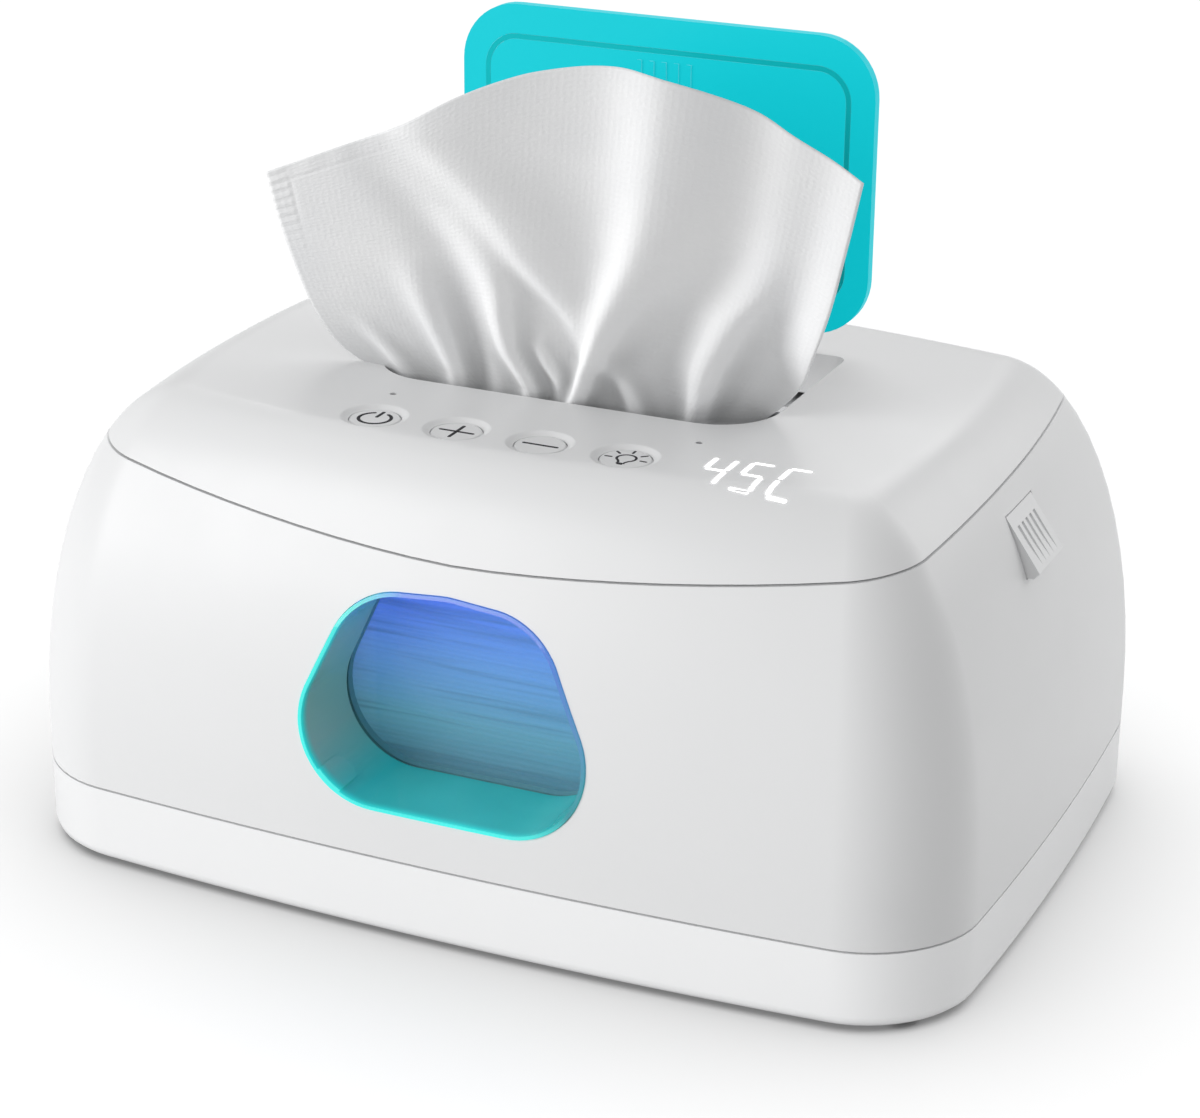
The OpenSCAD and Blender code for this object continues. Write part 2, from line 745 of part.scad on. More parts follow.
module inner_bin() {
    flange_z = bin_top - flange_t;
    dx = shoulder_x * (1 - cos(angle_at(bin_top, wall)));
    dy = shoulder_y * (1 - cos(angle_at(bin_top, wall)));
    color(white) difference() {
        union() {
            translate([0, bin_y, bin_z]) rounded_plate(bin_out_w, bin_out_d, bin_r + bin_t, bin_top - bin_z);
            translate([0, 0, flange_z]) linear_extrude(flange_t) polygon(outline(dx, dy, wall + CHORD));
            // Standoffs for the power board
            for (sx = [-1, 1], z = [power_z + 4, power_z + power_h - 4]) {
                along_y(sx * (power_w / 2 - 5), bin_rear - 0.5, z, 3, STANDOFF + 0.5);
            }
            for (sx = [-1, 1]) {
                translate([sx * (light_w / 2 - 4), light_y, light_z]) cylinder(r = 2.5, h = flange_z - light_z);
            }
        }
        translate([0, bin_y, bin_z + bin_t]) rounded_plate(bin_w, bin_d, bin_r, body_h);
        from_front(window_rear + bin_t + 2, bin_t + 4) bell(1);
        for (side = [-1, 1]) on_side(side) {
            translate([latch_plate_x - PLATE_T - latch_travel - 0.5, -latch_y - latch_w / 2 - 3, flange_z - 1])
                cube([40, latch_w + 6, flange_t + 2]);
        }
        translate([-RIBBON_W / 2 - 3, ribbon_slot_y, flange_z - 1]) cube([RIBBON_W + 6, 12, flange_t + 2]);
        for (sx = [-1, 1], z = [power_z + 4, power_z + power_h - 4]) {
            along_y(sx * (power_w / 2 - 5), bin_rear + 0.4, z, 1, STANDOFF + 2);
        }
    }
}

module heater_plate() {
    color(metal) translate([0, bin_y, bin_z - heat_plate_t]) rounded_plate(heat_w, heat_d, 8, heat_plate_t);
}

module heater_film() {
    color([0.85, 0.5, 0.15]) translate([0, bin_y, film_z]) rounded_plate(heat_w - 8, heat_d - 8, 6, heat_film_t);
}

CUTOUT_H = 6;
cutout_at = [30, bin_y - 6, film_z - CUTOUT_H];

module insulation_pad() {
    color([0.3, 0.3, 0.32]) difference() {
        translate([0, bin_y, foam_z]) rounded_plate(heat_w - 2, heat_d - 2, 8, foam_t);
        translate([cutout_at[0], cutout_at[1], foam_z - 1]) cylinder(r = cutout_r + seat, h = foam_t + 2);
    }
}

module thermal_cutout() {
    color(metal) translate(cutout_at) cylinder(r = cutout_r, h = CUTOUT_H);
}

SENSOR_R = 2.2;
sensor_z = bin_z + 14;

module temperature_sensor() {
    color(grey) translate([-power_w / 2 - 14, bin_rear + SENSOR_R, sensor_z]) {
        cylinder(r = SENSOR_R, h = 9);
        translate([-SENSOR_R - 3, -SENSOR_R, 2]) cube([2 * SENSOR_R + 6, 0.8, 5]);
    }
}

module wipe_stack() {
    color("white") translate([0, bin_y, bin_z + bin_t]) rounded_plate(stack_w, stack_d, bin_r - 2, stack_h);
}

// Power board behind the chamber, with its parts and wiring

bin_rear = bin_y + bin_d / 2 + bin_t;
STANDOFF = 3;
power_y = bin_rear + STANDOFF;
power_z = bin_z + 4;
power_h = bin_top - power_z - power_room;
parts_y = power_y + board_t;

module power_board() {
    color(board_green) difference() {
        translate([-power_w / 2, power_y, power_z]) cube([power_w, board_t, power_h]);
        for (sx = [-1, 1], z = [power_z + 4, power_z + power_h - 4]) {
            along_y(sx * (power_w / 2 - 5), power_y - 1, z, 1.6, board_t + 2);
        }
    }
}

module power_components() {
    depth = min(12, skin_y(power_z + power_h) - wall - parts_y - 2);
    color(grey) {
        translate([-36, parts_y, power_z + 12]) cube([20, depth, 22]);
        translate([-8, parts_y, power_z + 14]) cube([12, depth - 1, 16]);
        translate([18, parts_y, power_z + 2]) cube([16, depth - 3, 8]);
        translate([RIBBON_W / -2, parts_y, power_z + power_h - 6]) cube([RIBBON_W, 4, 5]);
        for (x = [14, 26]) along_y(x, parts_y, power_z + 22, 4.5, depth - 1);
    }
}

module power_board_screws() {
    color(metal) for (sx = [-1, 1], z = [power_z + 4, power_z + power_h - 4]) {
        along_y(sx * (power_w / 2 - 5), parts_y, z, 2.4, 1.6);
        along_y(sx * (power_w / 2 - 5), bin_rear + 0.6, z, 0.95, STANDOFF + board_t - 0.6);
    }
}

WIRE_R = 0.9;

module wiring() {
    low = power_z + 6;
    gland_in = gland_face - 12;
    color([0.75, 0.15, 0.12]) for (k = [0, 1]) {
        // From the gland to the power board
        wire([
            [-gland_x, gland_in, gland_z - 1.2 + 2.4 * k],
            [-gland_x + 8 + 3 * k, gland_in - 4, gland_z],
            [-gland_x + 20 + 3 * k, parts_y + 2.6, power_z + 2],
            [-gland_x + 20 + 3 * k, parts_y + WIRE_R, low]
        ], WIRE_R);
        // From the power board down to the heating film
        wire([
            [37 + 3 * k, parts_y + WIRE_R, low],
            [37 + 3 * k, parts_y + WIRE_R, film_z - 2],
            [35 + 3 * k, bin_y + heat_d / 2 + 2, film_z - 2 + heat_film_t]
        ], WIRE_R);
    }
}

// The ribbon bends where the cover swings: from the power board up over the liner
module hinge_cable() {
    t = 0.5;
    top = liner_z + liner_t + 1.2;
    back = hinge_y - 5;
    foot_y = parts_y + 4 - t;
    foot_z = power_z + power_h - 1;
    color([0.8, 0.8, 0.82]) translate([-RIBBON_W / 2, 0, 0]) rotate([90, 0, 90]) linear_extrude(RIBBON_W)
        polygon([
            [liner_rear - 6, top], [back - 2, top], [back, top - 2], [back, foot_z + 8], [foot_y + t, foot_z + 2],
            [foot_y + t, foot_z], [foot_y, foot_z], [foot_y, foot_z + 2 + t / 2], [back - t, foot_z + 8],
            [back - t, top - 2 - t / 2], [back - 2 - t / 2, top - t], [liner_rear - 6, top - t]
        ]);
}

// Night light above the window

light_z = window_z + window_h + 2.6;
light_y = -(skin_y(bin_top) + bin_d / 2 - bin_y) / 2;
LIGHT_D = 9;
LED_H = 1.2;

module night_light_board() {
    color(board_green) translate([-light_w / 2, light_y - LIGHT_D / 2, light_z - 1.2]) cube([light_w, LIGHT_D, 1.2]);
}

module night_light_leds() {
    color([0.9, 0.9, 1]) for (x = [-1, 0, 1]) {
        translate([x * light_w / 3 - 1.5, light_y - 1.5, light_z - 1.2 - LED_H]) cube([3, 3, LED_H]);
    }
}

// Top cover

cover_inner = body_h - wall;
lid_hinge_z = body_h + lid_gap + lid_t;
LUG_L = 4.6;
LUG_R = 2.4;
lug_x = lid_barrel_l / 2 + knuckle_gap + LUG_L / 2;
liner_post_x = liner_w / 2 - 17.5;
LINER_POST_Y = 27;
LINER_POST_R = 3.2;
CATCH_W = 10;
HOOK_T = 1.2;
// The hook stays clear of the liner's skirt when the latch is pressed
hook_in = skirt_w / 2 + 0.3 + latch_travel;
DOT_R = 0.75;
dots = [[button_x - 33.2, 14.6 - button_y], [display_x - 16.5, 14.4 - button_y]];
button_row = [for (k = [0 : 3]) [button_x + (k - 1.5) * button_pitch, -button_y]];

// Outline of the opening grown by g
module opening_outline(g) {
    rear_r = max(0.5, opening_rear_r + g);
    hull() {
        for (s = [-1, 1]) {
            translate([s * (opening_w / 2 - opening_r), opening_r - opening_front]) circle(opening_r + g);
            translate([s * (opening_w / 2 + g - rear_r), opening_rear + g - rear_r]) circle(rear_r);
        }
    }
}

module cover_shell() {
    loft(concat(
        [for (k = [COVER_STEPS : -1 : 0]) above_ring(k, wall)],
        [for (k = [0 : COVER_STEPS]) above_ring(k, 0)]
    ));
}

DISH_STEPS = 8;

// The hole of a button cap, opening into a soft-edged dish
module button_hole() {
    r = cap_r + cap_gap;
    rotate_extrude() polygon(concat(
        [[0, -2 * wall], [r, -2 * wall]],
        [
            for (k = [0 : DISH_STEPS])
                let (f = k / DISH_STEPS)
                [r + (dish_r - r) * f, -dish_h * (1 + cos(180 * f)) / 2]
        ],
        [[dish_r, wall], [0, wall]]
    ));
}

module lid_lugs() {
    for (s = [-1, 1]) {
        along_x(s * lug_x, lid_hinge_y, lid_hinge_z, LUG_R, LUG_L);
        translate([s * lug_x - LUG_L / 2, lid_hinge_y - LUG_R, body_h - 0.5])
            cube([LUG_L, 2 * LUG_R, lid_hinge_z - body_h + 0.5]);
    }
}

// The block at the rear that joins each middle knuckle to the cover
module knuckle_blocks() {
    for (s = [-1, 1]) {
        translate([s * hinge_x - knuckle_l / 2, hinge_y - 8, hinge_z + seam_half])
            cube([knuckle_l, 8, knuckle_r - seam_half]);
    }
}

module latch_catch() {
    inner = hook_in + HOOK_T + 1;
    translate([inner, -latch_y - CATCH_W / 2, latch_top + 5.6]) cube([wall, CATCH_W, 1.1]);
}

module top_cover() {
    color(white) difference() {
        union() {
            difference() {
                union() {
                    cover_shell();
                    translate([0, 0, body_h - collar_h]) linear_extrude(collar_h - 1) opening_outline(collar_t);
                }
                body_knuckles(knuckle_gap);
            }
            cover_knuckles(0);
            knuckle_blocks();
            lid_lugs();
            for (side = [-1, 1]) on_side(side) latch_catch();
            at_corners(liner_post_x, LINER_POST_Y) {
                translate([0, 0, liner_z + liner_t]) cylinder(r = LINER_POST_R, h = cover_inner - liner_z - liner_t + 0.5);
            }
        }
        translate([0, 0, body_h - 2 * collar_h]) linear_extrude(3 * collar_h) opening_outline(0);
        for (p = button_row) {
            translate([p[0], p[1], body_h]) button_hole();
        }
        for (p = dots) translate([p[0], p[1], body_h - 2 * wall]) cylinder(r = DOT_R + 0.05, h = 3 * wall);
        hinge_bores();
        along_x(0, lid_hinge_y, lid_hinge_z, lid_pin_r + pin_fit, 2 * lug_x + LUG_L + 2);
        at_corners(liner_post_x, LINER_POST_Y) translate([0, 0, liner_z]) cylinder(r = PILOT_R, h = 9);
    }
}

liner_y = bin_y;
liner_rear = liner_y + liner_d / 2;
BOARD_LIFT = 2.2;
control_z = liner_z + liner_t + BOARD_LIFT;
control_front = button_y + 8.4;
// The board reaches from the ribbon at its left end to the display
control_left = -opening_w / 2 - collar_t - 9;
control_l = display_x + display_w / 2 + 0.2 - control_left;
control_posts = [
    [control_left + 12, -control_front + 4], [control_left + control_l - 10, -control_front + control_d - 4]
];

module cover_liner() {
    color(white) difference() {
        union() {
            translate([0, liner_y, liner_z]) rounded_plate(liner_w, liner_d, 28, liner_t);
            translate([0, bin_y, liner_z - skirt_h])
                rounded_plate(skirt_w, skirt_d, bin_r - skirt_gap, skirt_h + 0.5);
            for (p = control_posts) translate([p[0], p[1], liner_z + 1]) cylinder(r = 2.4, h = liner_t - 1 + BOARD_LIFT);
        }
        translate([0, bin_y, liner_z - skirt_h - 1])
            rounded_plate(skirt_w - 2 * bin_t, skirt_d - 2 * bin_t, bin_r - skirt_gap - bin_t, skirt_h + 1);
        translate([0, 0, liner_z - 1]) linear_extrude(liner_t + 2) opening_outline(-ledge);
        // Notches for the latch hooks
        for (side = [-1, 1]) on_side(side) {
            translate([skirt_w / 2, -latch_y - CATCH_W / 2 - 0.5, liner_z - 1]) cube([20, CATCH_W + 1, liner_t + 2]);
        }
        at_corners(liner_post_x, LINER_POST_Y) translate([0, 0, liner_z - 1]) cylinder(r = SCREW_R + 0.3, h = 4);
        for (p = control_posts) translate([p[0], p[1], liner_z + 1]) cylinder(r = 1, h = 8);
    }
}

// A flat ring on the rim of the chamber, round the skirt
module cover_seal() {
    color([0.9, 0.9, 0.9]) translate([0, bin_y, bin_top]) difference() {
        rounded_plate(bin_w + 5, bin_d + 5, bin_r + 2.5, 1.6);
        translate([0, 0, -1]) rounded_plate(skirt_w + 0.8, skirt_d + 0.8, bin_r - skirt_gap + 0.4, 4);
    }
}

module liner_screws() {
    color(metal) at_corners(liner_post_x, LINER_POST_Y) {
        translate([0, 0, liner_z - 1.6]) cylinder(r = 2.6, h = 1.6);
        translate([0, 0, liner_z - 0.5]) cylinder(r = SCREW_R, h = 8);
    }
}

// Control electronics in the cover

SWITCH = 6;
SWITCH_H = 3.4;
PLUNGER_R = 1.7;
switch_z = control_z + board_t;

module control_board() {
    color(board_green) difference() {
        translate([control_left, -control_front, control_z]) cube([control_l, control_d, board_t]);
        for (p = control_posts) translate([p[0], p[1], control_z - 1]) cylinder(r = 1.3, h = board_t + 2);
    }
}

module control_board_screws() {
    color(metal) for (p = control_posts) {
        translate([p[0], p[1], switch_z]) cylinder(r = 2.2, h = 1.4);
        translate([p[0], p[1], liner_z + 1.2]) cylinder(r = 0.95, h = switch_z - liner_z - 1.2);
    }
}

module tact_switches() {
    color(grey) for (p = button_row) {
        translate([p[0], p[1], switch_z]) difference() {
            translate([-SWITCH / 2, -SWITCH / 2, 0]) cube([SWITCH, SWITCH, SWITCH_H]);
            translate([0, 0, SWITCH_H - 1.6]) cylinder(r = PLUNGER_R + 0.15, h = 2);
        }
    }
}

module display_module() {
    color(grey) translate([display_x - display_w / 2, 0.5 - button_y - display_d / 2, switch_z])
        cube([display_w, display_d, cover_inner - 2.9 - switch_z]);
}

module light_pipes() {
    color([0.9, 0.95, 1]) for (p = dots) {
        translate([p[0], p[1], switch_z]) cylinder(r = DOT_R, h = body_h - 0.15 - switch_z);
        translate([p[0], p[1], switch_z]) cylinder(r = 1.6, h = 2);
    }
}

module cover_ribbon() {
    z = liner_z + liner_t;
    x = -opening_w / 2 - collar_t - 5;
    color([0.8, 0.8, 0.82]) {
        translate([x - 3, liner_rear - 9, z]) cube([RIBBON_W / 2 - x + 3, 6, 0.5]);
        translate([x - 3, -control_front + 4, z]) cube([6, liner_rear + control_front - 9, 0.5]);
        translate([-RIBBON_W / 2, liner_rear - 9, z + 0.5]) cube([RIBBON_W, 3, 1.6]);
        translate([-RIBBON_W / 2, liner_rear - 6, z + 0.5]) cube([RIBBON_W, 3, 0.2]);
        translate([x - 3, -control_front + 5, z + 0.5]) cube([6, 9, BOARD_LIFT - 0.5]);
    }
}

module button_cap(k) {
    cap_top = body_h - dish_h + 0.1;
    flange_top = cover_inner - 0.7;
    stem_low = switch_z + SWITCH_H - 1.6 + button_travel + 0.15;
    color(white) translate([button_row[k][0], button_row[k][1], 0]) {
        translate([0, 0, cap_top - 0.4]) cylinder(r1 = cap_r, r2 = cap_r - 0.35, h = 0.4);
        translate([0, 0, flange_top - 1]) cylinder(r = cap_r, h = cap_top - 0.4 - flange_top + 1);
        translate([0, 0, flange_top - 1]) cylinder(r = cap_r + 0.8, h = 1);
        translate([0, 0, stem_low]) cylinder(r = PLUNGER_R, h = flange_top - stem_low);
    }
}

module power_button() {
    button_cap(0);
}

module plus_button() {
    button_cap(1);
}

module minus_button() {
    button_cap(2);
}

module light_button() {
    button_cap(3);
}

// Flip lid, standing open on its barrel

LID_EDGE = 1;
lid_mid_z = lid_hinge_z + LID_EDGE + lid_l / 2;
seal_top_in = seal_inset + 1.2;

module lid_hinge_pin() {
    color(metal) along_x(0, lid_hinge_y, lid_hinge_z, lid_pin_r, 2 * lug_x + LUG_L - 0.4);
}

module seal_ring(out, in) {
    w = lid_w - 2 * seal_inset;
    h = lid_l - 2 * seal_top_in;
    difference() {
        rounded_outline(w + 2 * out, h + 2 * out, lid_r - seal_inset + out);
        rounded_outline(w - 2 * in, h - 2 * in, lid_r - seal_inset - in);
    }
}

module flip_lid() {
    front = lid_hinge_y - lid_t;
    color(teal) difference() {
        union() {
            translate([0, 0, lid_mid_z]) from_front(lid_hinge_y, lid_t) rounded_outline(lid_w, lid_l, lid_r);
            along_x(0, lid_hinge_y, lid_hinge_z, lid_barrel_r, lid_barrel_l);
            translate([-lid_barrel_l / 2, lid_hinge_y - lid_barrel_r, lid_hinge_z])
                cube([lid_barrel_l, lid_barrel_r, LID_EDGE + 1]);
            for (k = [0 : rib_n - 1]) {
                x = (k - (rib_n - 1) / 2) * rib_pitch;
                translate([x - 0.6, front - 0.5, lid_hinge_z + LID_EDGE + lid_l - 10 - rib_l]) cube([1.2, 1, rib_l]);
            }
        }
        translate([0, 0, lid_mid_z]) from_front(front + seal_depth, seal_depth + 1) seal_ring(seal_w / 2, seal_w / 2);
        for (s = [-1, 1]) {
            along_x(s * lug_x, lid_hinge_y, lid_hinge_z, LUG_R + 0.5, LUG_L + 2 * knuckle_gap);
            translate([s * lug_x - LUG_L / 2 - knuckle_gap, front - 1, lid_hinge_z])
                cube([LUG_L + 2 * knuckle_gap, lid_t + 2, LUG_R + 0.5]);
        }
        along_x(0, lid_hinge_y, lid_hinge_z, lid_pin_r + pin_fit, lid_w);
    }
}

module lid_seal() {
    front = lid_hinge_y - lid_t;
    color([0.05, 0.66, 0.7]) translate([0, 0, lid_mid_z])
        from_front(front + seal_depth, seal_depth) seal_ring(seal_w / 2 - 0.05, seal_w / 2 - 0.05);
}

// Side latches: a wedge through the wall, a plate behind it and a hook up to the cover

module latch() {
    y = -latch_y - latch_w / 2;
    low = latch_top - latch_h;
    top_x = skin_x(latch_top) - 0.1;
    low_x = skin_x(low) + latch_proud;
    inner = latch_plate_x - PLATE_T;
    hook_x = hook_in + HOOK_T;
    hook_top = latch_top + 8;
    color(white) difference() {
        union() {
            from_front(y + latch_w, latch_w) polygon([
                [inner, low], [low_x - 1.2, low], [low_x, low + 1.4], [top_x, latch_top], [inner, latch_top]
            ]);
            translate([inner, y - 1.6, low - 1.6]) cube([PLATE_T, latch_w + 3.2, latch_h + 2.6]);
            translate([0, -latch_y + CATCH_W / 2 - 0.5, 0]) from_front(0, CATCH_W - 1) polygon([
                [hook_in, latch_top - 2], [latch_plate_x, latch_top - 2], [latch_plate_x, latch_top - 0.8],
                [hook_x + 0.8, latch_top - 0.8], [hook_x, latch_top], [hook_x, hook_top - 1.2],
                [hook_x + 0.7, hook_top - 1], [hook_in + 0.8, hook_top], [hook_in, hook_top]
            ]);
        }
        // Grip grooves down the slanted face
        for (k = [0 : grip_n - 1]) {
            pitch = (latch_w - 3) / (grip_n + 0.4);
            translate([0, y + 2.6 + k * pitch + pitch / 2, 0]) from_front(0, pitch * 0.45) polygon([
                [low_x - 0.6, low + 2.2], [low_x + 3, low + 2.2], [top_x + 3, latch_top - 2.6],
                [top_x + (low_x - top_x) * 2.6 / latch_h - 0.6, latch_top - 2.6]
            ]);
        }
    }
}

module latch_left() {
    on_side(-1) latch();
}

module latch_right() {
    latch();
}

module latch_spring() {
    t = 0.4;
    from_x = bin_out_w / 2;
    to_x = latch_plate_x - PLATE_T;
    half = 7;
    color(metal) translate([0, -latch_y, latch_top - latch_h + 0.5]) linear_extrude(2.4) polygon([
        [from_x, -half], [to_x, -1], [to_x, 1], [from_x, half],
        [from_x, half - t * 1.6], [to_x - t * 1.2, 0], [from_x, -half + t * 1.6]
    ]);
}

module latch_spring_left() {
    on_side(-1) latch_spring();
}

module latch_spring_right() {
    latch_spring();
}

// The wipe drawn up through the opening, a pleated fan

WIPE_COLS = 28;
WIPE_ROWS = 16;
// The lower edge rests on the stack
wipe_low = bin_z + bin_t + stack_h + seat;
wipe_flare = body_h + 1.2;
WIPE_FLARE_ROW = 0.25;

// Middle surface at u across from -1 to 1 and v up from 0 to 1
function wipe_point(u, v) =
    let (
        top = wipe_top - 26 - 6.5 + 6.7 * u + 26 * pow(max(0, 1 - u * u), 0.9),
        w = max(0, (v - WIPE_FLARE_ROW) / (1 - WIPE_FLARE_ROW)),
        low = min(1, v / WIPE_FLARE_ROW),
        spread = pow(w, 0.45),
        foot = wipe_foot - 6 * (1 - low),
        fold = (1.7 + 3.2 * w) * sin(360 * 2.25 * u + 40),
        y = wipe_in - opening_front - 5 * low + 4.5 * u * u * low + 9 * w
    )
    [
        foot * u + (-6 + (wipe_head - wipe_foot) * u) * spread,
        y + fold,
        v < WIPE_FLARE_ROW ? wipe_low + (wipe_flare - wipe_low) * low : wipe_flare + (top - wipe_flare) * w
    ];

module top_wipe() {
    ring = function (v) concat(
        [for (k = [0 : WIPE_COLS]) wipe_point(2 * k / WIPE_COLS - 1, v) + [0, -wipe_t / 2, 0]],
        [for (k = [WIPE_COLS : -1 : 0]) wipe_point(2 * k / WIPE_COLS - 1, v) + [0, wipe_t / 2, 0]]
    );
    faces_n = 2 * (WIPE_COLS + 1);
    points = [for (k = [0 : WIPE_ROWS]) each ring(k / WIPE_ROWS)];
    sides = [
        for (s = [0 : WIPE_ROWS - 1], i = [0 : faces_n - 1])
            let (p = s * faces_n, q = p + faces_n, j = (i + 1) % faces_n)
            each [[p + i, q + i, q + j], [p + i, q + j, p + j]]
    ];
    // The two ends are closed by strips across the sheet's thickness
    ends = [
        for (end = [0, 1], k = [0 : WIPE_COLS - 1])
            let (b = end * WIPE_ROWS * faces_n, f = b + k, r = b + faces_n - 1 - k)
            each (end == 0 ? [[f, f + 1, r], [f + 1, r - 1, r]] : [[f, r, f + 1], [f + 1, r, r - 1]])
    ];
    color("white") polyhedron(points, concat(sides, ends), convexity = 10);
}

base_tray();
base_feet();
base_screws();
body_shell();
window_sleeve();
window_pane();
window_seal();
inner_bin();
heater_plate();
heater_film();
insulation_pad();
thermal_cutout();
temperature_sensor();
power_board();
power_components();
power_board_screws();
wiring();
night_light_board();
night_light_leds();
cord_gland();
cover_hinge_pins();
latch_spring_left();
latch_spring_right();
hinge_cable();
wipe_stack();
top_cover();
cover_liner();
cover_seal();
liner_screws();
control_board();
control_board_screws();
tact_switches();
display_module();
light_pipes();
cover_ribbon();
lid_hinge_pin();
top_wipe();
flip_lid();
lid_seal();
power_button();
plus_button();
minus_button();
light_button();
latch_left();
latch_right();
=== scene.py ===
"""Looks of the baby wipe warmer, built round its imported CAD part."""
import json
import math

import bpy
from mathutils import Matrix, Vector
from mathutils.bvhtree import BVHTree


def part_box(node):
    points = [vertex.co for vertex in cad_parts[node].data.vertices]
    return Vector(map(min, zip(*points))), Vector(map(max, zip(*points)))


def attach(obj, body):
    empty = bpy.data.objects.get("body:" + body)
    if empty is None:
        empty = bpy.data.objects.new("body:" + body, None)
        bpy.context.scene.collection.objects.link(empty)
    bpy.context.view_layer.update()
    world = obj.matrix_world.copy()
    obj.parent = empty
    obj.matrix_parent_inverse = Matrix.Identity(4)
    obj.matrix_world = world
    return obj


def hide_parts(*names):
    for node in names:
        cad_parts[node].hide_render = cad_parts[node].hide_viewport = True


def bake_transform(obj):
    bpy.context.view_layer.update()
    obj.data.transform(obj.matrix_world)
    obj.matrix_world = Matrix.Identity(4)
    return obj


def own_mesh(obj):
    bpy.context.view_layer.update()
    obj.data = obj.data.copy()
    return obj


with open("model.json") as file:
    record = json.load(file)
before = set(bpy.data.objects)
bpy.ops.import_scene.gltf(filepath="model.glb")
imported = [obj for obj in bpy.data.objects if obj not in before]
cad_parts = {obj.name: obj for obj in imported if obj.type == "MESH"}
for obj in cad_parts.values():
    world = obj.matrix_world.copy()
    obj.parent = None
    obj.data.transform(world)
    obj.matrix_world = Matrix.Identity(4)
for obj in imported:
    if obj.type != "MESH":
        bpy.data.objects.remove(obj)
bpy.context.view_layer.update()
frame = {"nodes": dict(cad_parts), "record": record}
MM = 0.001


# --- camera, floor and light ---

# The photo's view: angles to the right, down and roll in degrees, the point looked at in mm,
# the distance in metres, and the lens and sensor width in mm
VIEW_ANGLES = (24.156, 21.762, 0.562)
VIEW_TARGET = (0.91, 0, 62.83)
VIEW_DISTANCE = 0.727
LENS, SENSOR = 93.24, 36


def camera():
    azimuth, elevation, roll = (math.radians(angle) for angle in VIEW_ANGLES)
    back = Vector((
        math.sin(azimuth) * math.cos(elevation),
        -math.cos(azimuth) * math.cos(elevation),
        math.sin(elevation),
    ))
    right = (-back).cross(Vector((0, 0, 1))).normalized()
    up = right.cross(-back)
    across = right * math.cos(roll) + up * math.sin(roll)
    upward = up * math.cos(roll) - right * math.sin(roll)
    place = Vector(VIEW_TARGET) * MM + back * VIEW_DISTANCE
    data = bpy.data.cameras.new("camera")
    data.lens = LENS
    data.sensor_width = SENSOR
    data.clip_start = 0.01
    eye = bpy.data.objects.new("camera", data)
    turn = Matrix((across, upward, back)).transposed().to_4x4()
    eye.matrix_world = Matrix.Translation(place) @ turn
    bpy.context.scene.collection.objects.link(eye)
    bpy.context.scene.camera = eye


def area_light(name, place, target, size, power, colour=(1, 1, 1)):
    data = bpy.data.lights.new(name, "AREA")
    data.shape = "RECTANGLE"
    data.size, data.size_y = size
    data.energy = power
    data.color = colour
    lamp = bpy.data.objects.new(name, data)
    lamp.location = place
    lamp.rotation_euler = (Vector(target) - Vector(place)).to_track_quat("-Z", "Y").to_euler()
    bpy.context.scene.collection.objects.link(lamp)
    return lamp


# What the lamps aim at
HOUSING_MIDDLE, TRAY_MIDDLE, CLOTH_MIDDLE = (0, 0, 0.05), (0, 0, 0.02), (0, 0, 0.14)


def key_light():
    return area_light("key", (-0.86, -1.16, 0.46), HOUSING_MIDDLE, (1.0, 1.0), 13.8)


def side_light():
    return area_light("side", (0.85, 1.01, 0.75), HOUSING_MIDDLE, (1.0, 1.0), 6)


def rear_light():
    return area_light("rear", (-0.38, 1.05, 1.05), HOUSING_MIDDLE, (1.0, 1.0), 5.2)


def base_light():
    return area_light("base", (0.75, -1.1, 0.3), TRAY_MIDDLE, (0.8, 0.8), 3.2)


def cloth_left_light():
    return area_light("cloth_left", (-1.28, -0.23, 0.34), CLOTH_MIDDLE, (0.6, 0.6), 13.5)


def cloth_right_light():
    return area_light("cloth_right", (1.28, -0.23, 0.34), CLOTH_MIDDLE, (0.6, 0.6), 1.2)


def cloth_front_light():
    return area_light("cloth_front", (0, -1.3, 0.34), CLOTH_MIDDLE, (0.6, 0.6), 2)


def cloth_back_light():
    return area_light("cloth_back", (0.5, 1.2, 0.5), CLOTH_MIDDLE, (0.6, 0.6), 4)


def ledge_light():
    """Light that comes through the cloth and reaches the ledge in the opening."""
    lamp = area_light("ledge", (0.034, 0.008, 0.09), (0.046, 0.03, 0.099), (0.01, 0.01), 0.0022)
    lamp.visible_camera = False
    return lamp


def floor_light():
    data = bpy.data.lights.new("overhead", "SUN")
    data.energy = 5.62
    data.angle = math.radians(94)
    lamp = bpy.data.objects.new("overhead", data)
    bpy.context.scene.collection.objects.link(lamp)
    return lamp


def night_light():
    """The blue light above the window, shining down the front of the stack."""
    place, target, size = (0, -0.0665, 0.0815), (0, -0.052, 0.045), (0.05, 0.006)
    return area_light("night", place, target, size, 0.05, (0.12, 0.22, 1.0))


def link_light(lamp, state, *pieces):
    """Keeps the lamp off the pieces, or on them alone."""
    chosen = bpy.data.collections.new(lamp.name + "_link")
    for k, piece in enumerate(pieces):
        chosen.objects.link(piece)
        chosen.collection_objects[k].light_linking.link_state = state
    lamp.light_linking.receiver_collection = chosen


def sky():
    world = bpy.data.worlds.new("sky")
    world.use_nodes = True
    shade = world.node_tree.nodes["Background"]
    shade.inputs["Color"].default_value = (1, 1, 1, 1)
    shade.inputs["Strength"].default_value = 0.49
    bpy.context.scene.world = world


def colours():
    view = bpy.context.scene.view_settings
    view.view_transform = "Standard"
    view.look = "None"


# --- materials ---

